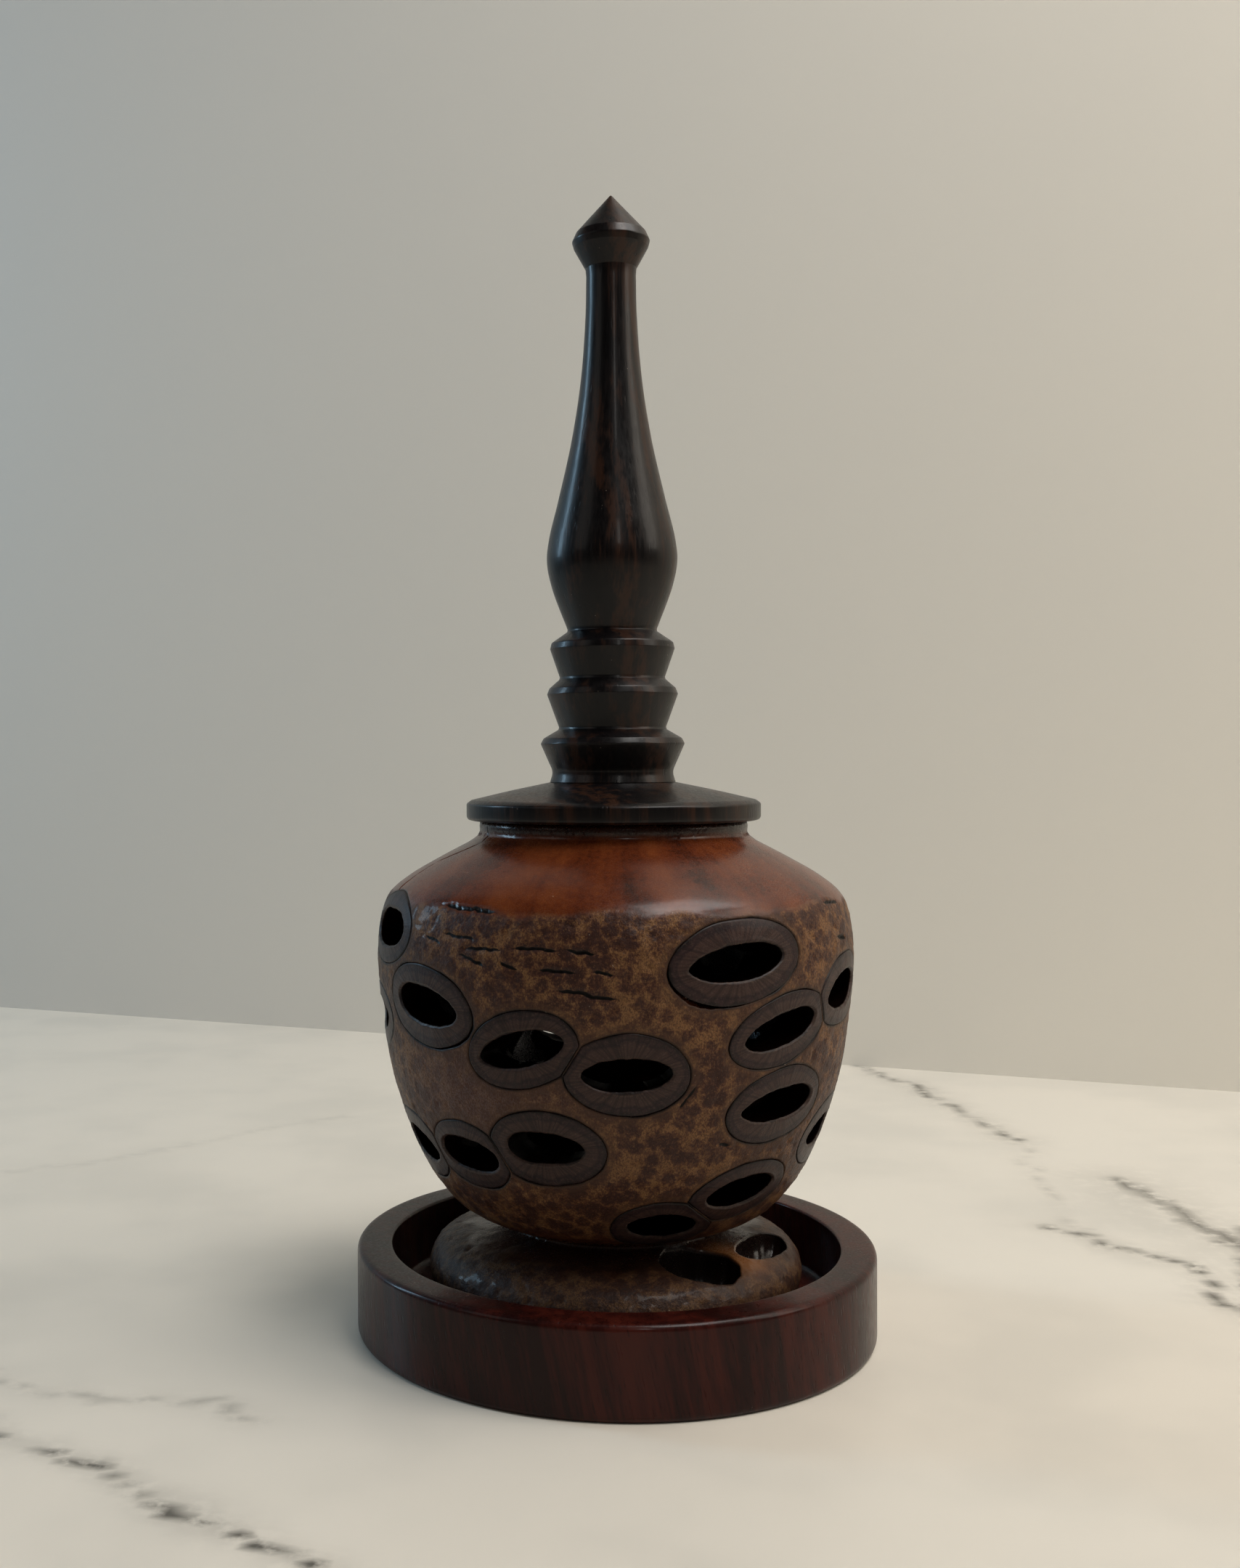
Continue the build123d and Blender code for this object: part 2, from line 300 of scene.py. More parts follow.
FOLLICLES = [
    Follicle(1, -68, 66.6, 7.0, 2.9, 9.6, 5.6, 0, 3.0),
    Follicle(2, -48, 55.9, 7.2, 2.8, 10.0, 6.2, -7, 2.6, 0.10, 0.35, -20),
    Follicle(3, -21, 51.0, 6.9, 2.6, 9.0, 5.7, 14, 2.2, -0.05),
    Follicle(4, 3, 47.8, 6.6, 2.4, 9.0, 6.1, 2, 2.5, 0.0),
    Follicle(5, 28, 63.6, 7.9, 2.6, 11.0, 6.1, 6, 2.3, -0.08, 0.75, 212),
    Follicle(6, 41, 53.2, 7.3, 2.4, 9.9, 5.1, 13, 2.6, -0.05),
    Follicle(7, 67, 57.4, 6.4, 2.7, 9.2, 5.4, 8, 2.2),
    Follicle(8, 43, 41.8, 7.4, 2.4, 9.9, 5.7, 5, 2.6, -0.1),
    Follicle(9, 38, 28.3, 6.2, 2.3, 9.0, 4.7, 6, 2.4),
    Follicle(10, 15, 23.4, 5.4, 2.1, 7.6, 4.4, -2, 2.2),
    Follicle(11, -17, 36.2, 6.0, 2.4, 9.0, 6.0, 0, 2.8, 0.1),
    Follicle(12, -41, 33.4, 5.8, 2.5, 7.8, 5.4, -4, 3.0),
    Follicle(13, -66, 32.4, 5.9, 2.4, 8.0, 5.2, -6, 2.4),
    Follicle(14, -79, 52.0, 6.4, 2.4, 8.9, 5.2, 4),
    Follicle(15, 71, 35.0, 6.0, 2.3, 8.6, 5.4, 4),
    Follicle(16, 92, 45.8, 6.8, 2.5, 9.4, 5.6, 8),
    Follicle(17, 100, 62.6, 7.3, 2.6, 10.0, 5.9, -4, 2.5, 0.08),
    Follicle(18, 104, 31.6, 6.0, 2.4, 8.4, 5.2, 5),
    Follicle(19, 123, 51.6, 7.0, 2.5, 9.6, 5.7, 10, 2.4, -0.06, 0.4, 30),
    Follicle(20, 133, 38.2, 6.5, 2.4, 9.0, 5.4, -5),
    Follicle(21, 137, 65.4, 7.4, 2.7, 10.2, 5.6, 5, 2.6),
    Follicle(22, 158, 50.0, 7.1, 2.6, 9.8, 5.9, -8, 2.3, 0.08, 0.5, 160),
    Follicle(23, 167, 30.4, 6.0, 2.3, 8.6, 5.2, 4),
    Follicle(24, 176, 63.6, 7.2, 2.6, 9.7, 5.7, 7, 2.5),
    Follicle(25, -166, 43.6, 7.0, 2.5, 9.6, 5.5, 6),
    Follicle(26, -145, 58.8, 7.2, 2.6, 9.8, 5.8, -5, 2.4, 0.05, 0.45, 300),
    Follicle(27, -141, 32.4, 6.2, 2.4, 8.8, 5.4, 7),
    Follicle(28, -130, 46.6, 6.9, 2.5, 9.4, 5.6, 9, 2.6),
    Follicle(29, -107, 63.8, 7.0, 2.6, 9.5, 5.6, 3),
    Follicle(30, -101, 39.4, 6.6, 2.4, 9.2, 5.5, -6, 2.2, -0.08, 0.3, 190),
]


@dataclass(frozen=True)
class Crack:
    """A short dark check in the pot's surface, from one azimuth and height to another."""
    start: Point
    stop: Point
    depth: float = 0.5
    width: float = 0.24
    waver: float = 0.35


CRACKS = [
    Crack((-44, 71.2), (-27, 70.6), 0.5, 0.3), Crack((-41, 67.0), (-32, 66.6)),
    Crack((-47, 66.2), (-42, 65.6)), Crack((-34, 65.4), (-25, 65.2), 0.6),
    Crack((-22, 65.9), (-12, 65.6), 0.6), Crack((-10, 65.9), (-4, 65.2), 0.6),
    Crack((-36, 64.3), (-29, 62.7)), Crack((-25, 63.6), (-21, 62.8)), Crack((-16, 63.0), (-8, 62.4), 0.6),
    Crack((-4, 62.7), (0, 62.5)), Crack((-12, 60.0), (1, 58.8), 0.7, 0.28),
    Crack((63, 65.6), (68, 65.0), 0.7, 0.4, 0.2), Crack((26, 36.9), (29, 36.5), 0.5, 0.25, 0.1),
    Crack((15, 42.9), (18.5, 45.9), 0.5, 0.2, 0.1), Crack((112, 57.0), (118, 58.0)),
    Crack((84, 54.0), (92, 54.6)), Crack((146, 58.0), (152, 57.4)),
    Crack((-172, 54.8), (-164, 54.2), 0.6), Crack((-158, 52.0), (-150, 51.2)),
    Crack((-122, 54.6), (-115, 54.0)), Crack((-96, 53.8), (-90, 53.0)), Crack((122, 44.6), (126, 45.4)),
    Crack((-118, 70.6), (-106, 71.4)), Crack((150, 70.9), (164, 70.5)), Crack((60, 70.9), (70, 70.5)),
    Crack((-66, 82.0), (-64, 79.6), 0.35, 0.12, 0.05), Crack((-64.5, 79.4), (-75, 76.4), 0.4, 0.12, 0.2),
    Crack((-75, 76.2), (-72, 71.6), 0.35, 0.12, 0.2),
]


@dataclass(frozen=True)
class FootPocket:
    """A follicle that the waist was turned through, open in the top of the foot."""
    azimuth: float
    radius: float
    half_length: float
    half_width: float
    floor: float
    roughness: float
    turn: float = 0.0


FOOT_POCKETS = [FootPocket(35, 22.8, 6.4, 5.3, 9.0, 0.25, 26.0),
                FootPocket(72, 24.6, 7.4, 3.1, 11.4, 0.6, 8.0)]


# ---------------------------------------------------------------- the pot
@dataclass
class Hole:
    """An opening in the pot's skin: its edge, and what lies behind it."""
    azimuths: np.ndarray
    runs: np.ndarray
    inner_runs: np.ndarray | None = None
    tight_azimuths: np.ndarray | None = None
    tight_runs: np.ndarray | None = None
    depth: float = 0.0
    drop_to: float | None = None
    roughness: float = 0.0


@dataclass
class ConePot:
    """The pot turned from the cone, with its sockets, cracks, bracts and foot.

    The skin is one sheet laid out by azimuth and by the distance run along the outline, from the
    middle of the underside, up the outside, over the rim and down the hollow to its floor.
    """
    name: str = "cone_pot"
    rim_top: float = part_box("pot_body")[1].z / MM
    foot_bottom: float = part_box("pot_body")[0].z / MM
    mouth_radius: float = 17.6
    collar_radius: float = 21.9
    collar_base: float = 80.6
    belly: list[Point] = field(default_factory=lambda: [
        (26.8, 4.3), (29.5, 7.0), (30.3, 11.0), (28.6, 13.8), (24.6, 15.4), (18.4, 16.4), (17.1, 17.2),
        (17.9, 18.0), (20.8, 18.7), (25.6, 21.2), (29.9, 26.2), (33.2, 32.8), (36.4, 42.8), (37.8, 51.5),
        (38.6, 61.0), (37.9, 68.0), (36.5, 71.2), (33.4, 73.8), (28.8, 76.5), (23.3, 79.4)])
    hollow: list[Point] = field(default_factory=lambda: [
        (17.6, 75.6), (27.8, 69.0), (31.2, 60.0), (30.4, 49.0), (27.0, 38.0), (21.0, 28.6), (9.0, 25.0),
        (1.6, 25.0)])
    fine: float = 0.525
    coarse: float = 1.7
    layout_radius: float = 38.0
    margin: float = math.radians(36.0)
    blind_below: float = 28.0
    blind_depth: float = 9.3
    bract_line: float = 71.6
    waist_height: float = 17.2
    seed: int = 1871
    foot_span: Point = (4.0, 17.0)
    pink_sheen_middle: Point = (-34.0, 43.0)
    pink_sheen_reach: Point = (24.0, 9.0)
    lit_valve_middle: Point = (53.0, 23.4)
    lit_valve_reach: Point = (9.0, 4.5)
    edge_copies: Point = (0.2, 0.45)

    def __post_init__(self) -> None:
        """Lay out the outline and the lookups between heights and runs."""
        outline = [(0.0, self.foot_bottom)] + straight((0.0, self.foot_bottom), (26.2, self.foot_bottom), 1.0)
        outline += smooth_curve(self.belly, 0.2)
        outline += rounded_corners([(*outline[-1], 0.0), (self.collar_radius - 0.15, self.collar_base, 0.5),
                                    (self.collar_radius, self.rim_top - 1.0, 1.0),
                                    (self.collar_radius - 0.15, self.rim_top, 0.55),
                                    (self.mouth_radius, self.rim_top, 0.5), (*self.hollow[0], 0.0)], 0.3)[1:]
        outline += smooth_curve(self.hollow, 0.4)[1:] + [(0.0, self.hollow[-1][1])]
        self.runs, self.radii, self.heights = outline_lengths(outline)
        top = int(np.argmax(self.heights))
        waist = int(np.argmin(np.abs(self.heights[:top] - self.waist_height)))
        self.outer = slice(waist, top)
        self.inner = slice(top, len(self.runs) - 1)
        self.foot_top = slice(int(np.argmax(self.radii[:waist])), waist)

    def radius_at(self, heights: np.ndarray) -> np.ndarray:
        """Radius of the outside at heights between the waist and the rim."""
        return np.interp(heights, self.heights[self.outer], self.radii[self.outer])

    def run_at(self, heights: np.ndarray) -> np.ndarray:
        """Run of the outside at heights between the waist and the rim."""
        return np.interp(heights, self.heights[self.outer], self.runs[self.outer])

    def inner_run_at(self, heights: np.ndarray) -> np.ndarray:
        """Run of the hollow's wall at these heights."""
        return np.interp(heights, self.heights[self.inner][::-1], self.runs[self.inner][::-1])

    def inner_radius_at(self, heights: np.ndarray) -> np.ndarray:
        """Radius of the hollow at these heights."""
        return np.interp(heights, self.heights[self.inner][::-1], self.radii[self.inner][::-1])

    def place(self, azimuths: np.ndarray, runs: np.ndarray) -> Pair:
        """Find places on the skin.

        Args:
            azimuths: azimuth of each place, in radians.
            runs: distance run of each place along the outline.

        Returns:
            The points, and the directions that face out of the wood there.
        """
        radii, heights = np.interp(runs, self.runs, self.radii), np.interp(runs, self.runs, self.heights)
        step = 0.25
        slope_radius, slope_height = (
            np.interp(runs + step, self.runs, values) - np.interp(runs - step, self.runs, values)
            for values in (self.radii, self.heights))
        size = np.maximum(np.hypot(slope_radius, slope_height), TINY)
        outwards, upwards = slope_height / size, -slope_radius / size
        sine, cosine = np.sin(azimuths), np.cos(azimuths)
        points = np.stack([radii * sine, -radii * cosine, heights], axis=1)
        return points, np.stack([outwards * sine, -outwards * cosine, upwards], axis=1)

    def on_wall(self, follicle: Follicle, along: np.ndarray, up: np.ndarray) -> Pair:
        """Carry places from a follicle's flat layout onto the wall, as azimuths and heights."""
        heights = follicle.height + up
        share = np.clip(along / self.radius_at(heights), -0.95, 0.95)
        return math.radians(follicle.azimuth) + np.arcsin(share), heights

    def to_layout(self, follicle: Follicle, azimuths: np.ndarray, heights: np.ndarray) -> tuple:
        """Carry azimuths and heights on the wall into a follicle's flat layout."""
        turn = wrapped(azimuths - math.radians(follicle.azimuth))
        along = np.where(np.abs(turn) < SIDE_REACH, self.radius_at(heights) * np.sin(turn), FAR_AWAY)
        return along, heights - follicle.height

    def ring_edge(self, follicle: Follicle, angles: np.ndarray) -> np.ndarray:
        """Find a woody ring's outline, pressed flat where it meets a neighbour.

        Args:
            follicle: the follicle.
            angles: directions from the slot's middle, in the follicle's own axes.

        Returns:
            Distance from the middle to the outline in each direction.
        """
        spots = round_spots(angles, follicle.number * 3.0)
        full = 1.0 / np.hypot(np.cos(angles) / follicle.ring_length, np.sin(angles) / follicle.ring_height)
        full = full * (1.0 + 0.05 * waves(spots, 0.9, 5.0))
        start = follicle.slot_edge(angles) + 0.9
        shares = np.linspace(0.0, 1.0, 60)
        reach = start + (full - start) * shares[:, None]
        own_along, own_up = reach * np.cos(angles), reach * np.sin(angles)
        along, up = follicle.turned(own_along, own_up)
        azimuths, heights = self.on_wall(follicle, along, up)
        mine = np.hypot(own_along / follicle.ring_length, own_up / follicle.ring_height)
        free = np.ones_like(mine, bool)
        for other in FOLLICLES:
            if other is not follicle:
                other_along, other_up = self.to_layout(other, azimuths, heights)
                free &= mine + 0.035 < other.ring_metric(other_along, other_up)
        last = np.where(free.all(axis=0), len(shares) - 1, np.argmin(free, axis=0) - 1)
        return np.take_along_axis(reach, np.maximum(last, 0)[None, :], axis=0)[0]

    def seam_gap(self, follicle: Follicle, angles: np.ndarray) -> np.ndarray:
        """Width of the dark seam between a ring and the pot, which gapes open in places."""
        spots = round_spots(angles, follicle.number * 5.0)
        away = (np.degrees(angles) - follicle.gape_at + 180.0) % 360.0 - 180.0
        opened = follicle.gape * np.exp(-(away / 26.0) ** 2) * (1.0 + 0.5 * waves(spots, 0.12, 6.0))
        return 0.03 + 0.12 * ramp(waves(spots, 0.5, 7.0), 0.1, 0.6) + np.maximum(opened, 0.0)

    def is_blind(self, follicle: Follicle) -> bool:
        """Tell whether a follicle has solid wood behind it instead of the hollow."""
        return follicle.height - follicle.ring_height < self.blind_below

    def socket(self, follicle: Follicle) -> Hole:
        """Make the opening in the skin that a woody ring sits in."""
        angles = follicle.directions(RING_SAMPLES)
        edge = self.ring_edge(follicle, angles)
        places = []
        for reach in (edge + self.seam_gap(follicle, angles), edge + 0.02):
            along, up = follicle.turned(reach * np.cos(angles), reach * np.sin(angles))
            places.append(self.on_wall(follicle, along, up))
        (azimuths, heights), (tight_azimuths, tight_heights) = places
        inner = None if self.is_blind(follicle) else self.inner_run_at(tight_heights)
        return Hole(azimuths, self.run_at(heights), inner, tight_azimuths, self.run_at(tight_heights),
                    self.blind_depth)

    def pocket(self, pocket: FootPocket) -> Hole:
        """Make the opening of a cut-through follicle in the foot."""
        count = 84
        turns = np.arange(count) * TURN / count
        spots = round_spots(turns, pocket.azimuth)
        swell = 1.0 + 0.07 * waves(spots, 0.8, 8.0) + 0.04 * waves(spots, 0.25, 9.0)
        along, outwards = rotated(pocket.half_length * np.cos(turns) * swell,
                                  pocket.half_width * np.sin(turns) * swell, pocket.turn)
        outwards = pocket.radius + outwards
        azimuths = math.radians(pocket.azimuth) + np.arctan2(along, outwards)
        margin = 0.3
        near, there = self.radii[self.foot_top], self.runs[self.foot_top]
        radii = np.clip(np.hypot(along, outwards), near.min() + margin, near.max() - margin)
        order = np.argsort(near)
        runs = np.interp(radii, near[order], there[order])
        return Hole(azimuths[::-1], runs[::-1], drop_to=pocket.floor, roughness=pocket.roughness)

    def crack_places(self, crack: Crack) -> tuple[np.ndarray, np.ndarray, np.ndarray]:
        """Lay points along a crack and both its lips: azimuths, runs and depths, 0 on a lip."""
        start, stop = np.array(crack.start), np.array(crack.stop)
        radius = float(self.radius_at(np.array([0.5 * (start[1] + stop[1])]))[0])
        span = math.hypot(math.radians(stop[0] - start[0]) * radius, stop[1] - start[1])
        count = max(6, int(span / 0.33))
        shares = np.linspace(0.0, 1.0, count)
        path = start + (stop - start) * shares[:, None]
        spots = np.stack([shares * span, np.full(count, start[0]), np.full(count, start[1])], axis=1)
        sway = waves(spots, 2.2, 11.0) + 0.5 * waves(spots, 0.8, 12.0)
        path = path + crack.waver * np.stack([np.zeros(count), sway], axis=1)
        tangent = unit(np.gradient(path * np.array([math.radians(radius), 1.0]), axis=0))
        aside = np.stack([-tangent[:, 1] / math.radians(radius), tangent[:, 0]], axis=1)
        fade = ramp(shares, 0.0, 0.18) * ramp(1.0 - shares, 0.0, 0.18)
        fade *= 0.75 + 0.5 * waves(spots, 0.7, 13.0)
        wide = crack.width * (0.6 + 0.95 * fade)[:, None]
        places = np.vstack([path, path + aside * wide, path - aside * wide])
        depth = np.concatenate([np.clip(fade, 0.15, 1.0) * crack.depth / FULL_DEPTH, np.zeros(2 * count)])
        return np.radians(places[:, 0]), self.run_at(places[:, 1]), depth

    def spacing_at(self, run: float) -> float:
        """Distance between the skin's points at a run: fine outside, coarse under the foot and inside."""
        start = self.runs[np.searchsorted(self.runs, 24.0)]
        hidden = min(run - start, self.inner_run_at(np.array([self.rim_top - 5.0]))[0] - run)
        share = float(np.clip(hidden / 4.0 + 0.5, 0.0, 1.0))
        return self.coarse + (self.fine - self.coarse) * share

    def skin_grid(self, random: np.random.Generator) -> tuple[np.ndarray, np.ndarray, list[tuple[int, int]]]:
        """Lay the skin's regular points, row by row.

        Args:
            random: the seeded generator for the points' small shifts.

        Returns:
            Azimuths, runs, and the first and last index of each row.
        """
        azimuths, runs, rows = [], [], []
        run, row, total = 1.8, 0, 0
        end, row_step = self.runs[-1] - 1.7, 0.87
        while run < end:
            spacing = self.spacing_at(run)
            radius = float(np.interp(run, self.runs, self.radii))
            count = max(14, int(TURN * radius / spacing))
            shift = random.uniform(-0.16, 0.16, (2, count))
            flat = row == 0 or run + row_step * spacing >= end
            steps = np.arange(count) + 0.5 * (row % 2) + (0.0 if flat else shift[0])
            azimuths.append(steps * TURN / count - math.pi)
            runs.append(np.full(count, run) + (0.0 if flat else shift[1] * spacing))
            rows.append((total, total + count))
            total += count
            run += row_step * spacing
            row += 1
        return np.concatenate(azimuths), np.concatenate(runs), rows

    def relief(self, points: np.ndarray, azimuths: np.ndarray) -> Pair:
        """Work out the bracts' rough surface.

        Args:
            points: places on the outside.
            azimuths: their azimuths, in radians.

        Returns:
            How far each place stands out, and how much it is covered by bracts, 0 to 1.
        """
        heights = points[:, 2]
        around = np.stack([np.sin(azimuths) * 30.0, np.cos(azimuths) * 30.0, heights * 0.0], axis=1)
        edge = self.bract_line + 1.5 * waves(around, 11.0, 1.0) + 0.9 * waves(around, 3.4, 2.0) - 0.3
        belly = ramp(edge - heights, -0.5, 0.9) * ramp(heights, 18.2, 22.5)
        foot = ramp(15.6 - heights + 0.8 * waves(points, 4.0, 14.0), -0.6, 0.8) * ramp(heights, 3.0, 5.0)
        bracts = np.maximum(belly, foot * (heights < 17.0))
        coarse = waves(points * np.array([1.0, 1.0, 1.25]), 1.5, 15.0)
        lumps = waves(points, 3.2, 16.0)
        worms = 1.0 - np.abs(waves(points, 0.95, 17.0)) * 2.4
        rough = 0.09 * coarse + 0.08 * lumps - 0.09 * np.clip(worms, 0.0, 1.0) ** 2
        fibres = 0.03 * waves(points * np.array([2.2, 2.2, 0.3]), 1.0, 18.0)
        dents = -0.25 * ramp(waves(points, 1.25, 19.0), 0.42, 0.62)
        worn = rough + 0.02 + dents * (lumps > -0.1)
        return bracts * worn + (1.0 - bracts) * fibres * (heights < 20.0), bracts

    def build(self) -> bpy.types.Object:
        """Make the pot's mesh: skin, sockets, foot pockets and hollow in one closed piece."""
        holes = [self.socket(follicle) for follicle in FOLLICLES]
        holes += [self.pocket(pocket) for pocket in FOOT_POCKETS]
        sheet = self.fill_sheet(holes)
        faces = sheet.triangles()
        points, normals = self.place(sheet.azimuths, sheet.runs)
        mouth = self.runs[self.outer.stop]
        outside = ramp(sheet.runs, 26.0, 28.0) * (sheet.runs < mouth + 1.0)
        push, bracts = self.relief(points, sheet.azimuths)
        seam = sheet.edge_distance(len(holes))
        push = push * outside * ramp(seam, 0.0, 0.7) - 0.12 * np.exp(-(seam / 0.16) ** 2)
        push -= 0.55 * sheet.depth * (sheet.depth > 0.02)
        points = points + normals * push[:, None]
        masks = self.colour_places(points, np.degrees(sheet.azimuths))
        # The hidden mask marks the hollow's surfaces, which the finish paints dark as shade.
        masks |= {"bracts": bracts * outside * (1.0 - 0.8 * masks["bridge"]),
                  "seam": np.minimum(seam, 6.0), "crack": np.clip(sheet.depth * 1.4, 0.0, 1.0),
                  "hidden": np.where(sheet.runs > mouth + 3.0, 1.0, 0.0)}
        builder = MeshParts(points, faces, masks)
        sheet.close_poles(builder, self.foot_bottom, self.hollow[-1][1])
        inner_loop = len(holes)
        for index, hole in enumerate(holes):
            ring = sheet.loop_indices[index]
            if hole.inner_runs is not None:
                self.through_wall(builder, ring, sheet.loop_indices[inner_loop], hole)
                inner_loop += 1
            elif hole.drop_to is None:
                self.blind_wall(builder, ring, hole)
            else:
                self.pocket_wall(builder, ring, hole)
        return builder.finish(self.name)

    def fill_sheet(self, holes: list[Hole]) -> "SkinSheet":
        """Lay out the skin's points: the edges of openings, the cracks, and the regular rows."""
        azimuths, runs, rows = self.skin_grid(np.random.default_rng(self.seed))
        loops: list[Pair] = [(hole.azimuths, hole.runs) for hole in holes]
        loops += [(hole.tight_azimuths[::-1], hole.inner_runs[::-1])
                  for hole in holes if hole.inner_runs is not None]
        extras = [self.crack_places(crack) for crack in CRACKS]
        extras += [self.offset_loop(hole.azimuths, hole.runs, gap)
                   for hole in holes for gap in self.edge_copies]
        sheet = SkinSheet(self.layout_radius, self.margin)
        sheet.add_loops(loops)
        sheet.add_extras(*(np.concatenate(values) for values in zip(*extras)))
        sheet.add_grid(azimuths, runs, rows)
        return sheet

    def colour_places(self, points: np.ndarray, turn: np.ndarray) -> dict[str, np.ndarray]:
        """Masks of the foot, of its smooth bridge between the pockets, which carries a painted highlight, and
        of the paler bracts, which carry a painted sheen.

        Args:
            points: places on the skin.
            turn: their azimuths, in degrees.

        Returns:
            A value for each place under each mask's name.
        """
        heights, radii = points[:, 2], np.hypot(points[:, 0], points[:, 1])
        low = (heights < self.foot_span[1]) & (heights > self.foot_span[0])
        # The pale patch on the lower left is partly a pinker tone of the bracts and partly a painted greyish
        # sheen from the left window.
        pale = ((turn - self.pink_sheen_middle[0]) / self.pink_sheen_reach[0]) ** 2
        pale += ((heights - self.pink_sheen_middle[1]) / self.pink_sheen_reach[1]) ** 2
        # The bridge is a lighter woody valve, brightened further as a painted highlight where its bulge
        # catches the light.
        bridge = ((turn - self.lit_valve_middle[0]) / self.lit_valve_reach[0]) ** 2
        bridge += ((radii - self.lit_valve_middle[1]) / self.lit_valve_reach[1]) ** 4
        return {"pale": np.exp(-pale), "bridge": low * np.exp(-bridge), "foot": low * 1.0}

    def offset_loop(self, azimuths: np.ndarray, runs: np.ndarray,
                    gap: float) -> tuple[np.ndarray, np.ndarray, np.ndarray]:
        """Copy a loop at a distance outside itself, as azimuths, runs and depths of 0."""
        radius = np.interp(runs, self.runs, self.radii)
        flat = np.stack([azimuths * radius.mean(), runs], axis=1)
        tangent = unit(np.roll(flat, -1, axis=0) - np.roll(flat, 1, axis=0))
        middle = flat.mean(axis=0)
        aside = np.stack([tangent[:, 1], -tangent[:, 0]], axis=1)
        if np.mean(np.sum(aside * (flat - middle), axis=1)) < 0:
            aside = -aside
        moved = flat + aside * gap
        return moved[:, 0] / radius.mean(), moved[:, 1], np.zeros(len(moved))

    def narrowed(self, builder: "MeshParts", outer: np.ndarray, hole: Hole, share: float) -> np.ndarray:
        """Places on the way from a socket's gaping edge to its tight one."""
        tight = self.place(hole.tight_azimuths, hole.tight_runs)[0]
        return builder.points[outer] * (1.0 - share) + tight * share

    def through_wall(self, builder: "MeshParts", outer: np.ndarray, inner: np.ndarray, hole: Hole) -> None:
        """Join a socket's edge outside, through the wall, to its edge in the hollow."""
        inner = inner[::-1]
        stop = builder.points[inner]
        rings = [outer]
        for share, closed in ((0.04, 0.1), (0.1, 0.5), (0.18, 1.0), (0.5, 1.0)):
            start = self.narrowed(builder, outer, hole, closed)
            rings.append(builder.add(start + (stop - start) * share))
        builder.tube([*rings, inner])

    def blind_wall(self, builder: "MeshParts", outer: np.ndarray, hole: Hole) -> None:
        """Give a socket that doesn't reach the hollow its wall and its floor."""
        rings = [outer]
        for depth, closed in ((0.4, 0.1), (1.0, 0.5), (1.8, 1.0), (5.0, 1.0), (hole.depth, 1.0)):
            start = self.narrowed(builder, outer, hole, closed)
            rings.append(builder.add(start - unit(start * FLAT_WAY) * depth))
        builder.tube(rings, closed=True)

    def pocket_wall(self, builder: "MeshParts", outer: np.ndarray, hole: Hole) -> None:
        """Give an opening in the foot its steep rough wall and its hollowed floor."""
        start = builder.points[outer]
        middle = start.mean(axis=0) * FLAT_WAY
        rings = [outer]
        for share, shrink in ((0.1, 0.995), (0.3, 0.98), (0.6, 0.93), (0.85, 0.8), (0.96, 0.6), (1.0, 0.35)):
            ring = middle + (start - middle) * np.array([shrink, shrink, 1.0])
            ring[:, 2] = start[:, 2] + (hole.drop_to - start[:, 2]) * share
            rough = np.stack([waves(ring, 0.9, 20.0 + axis) for axis in range(3)], axis=1)
            ring += hole.roughness * share * rough
            # The pocket's wall takes the hollow's painted shade.
            rings.append(builder.add(ring, hidden=1.0))
        builder.tube(rings, closed=True)


@dataclass
class MeshParts:
    """Vertices, faces and masks of a mesh that grows piece by piece."""
    points: np.ndarray
    faces: list[tuple[int, ...]]
    masks: dict[str, np.ndarray]

    def add(self, points: np.ndarray, **values: float) -> np.ndarray:
        """Add vertices whose named masks have these values, and return their indices."""
        start = len(self.points)
        self.points = np.vstack([self.points, points])
        for label in self.masks:
            filled = np.full(len(points), values.get(label, 0.0))
            self.masks[label] = np.concatenate([self.masks[label], filled])
        return np.arange(start, start + len(points))

    def bridge(self, near: np.ndarray, far: np.ndarray) -> None:
        """Join two closed rings of the same count by quads."""
        count = len(near)
        for step in range(count):
            following = (step + 1) % count
            self.faces.append((int(near[step]), int(near[following]), int(far[following]), int(far[step])))

    def tube(self, rings: list[np.ndarray], closed: bool = False) -> None:
        """Join rings in a row, and close the last one if asked."""
        for near, far in zip(rings, rings[1:]):
            self.bridge(near, far)
        if closed:
            self.fan(rings[-1])

    def fan(self, ring: np.ndarray, middle: np.ndarray | None = None) -> None:
        """Close a ring with triangles to a point, in its middle if no other is given."""
        middle = self.points[ring].mean(axis=0) if middle is None else middle
        values = {label: float(mask[ring[0]]) for label, mask in self.masks.items()}
        centre = int(self.add(middle[None, :], **values)[0])
        for step, here in enumerate(ring):
            self.faces.append((int(here), int(ring[(step + 1) % len(ring)]), centre))

    def finish(self, name: str) -> bpy.types.Object:
        """Make the object."""
        return link_mesh(name, self.points, self.faces, self.masks)


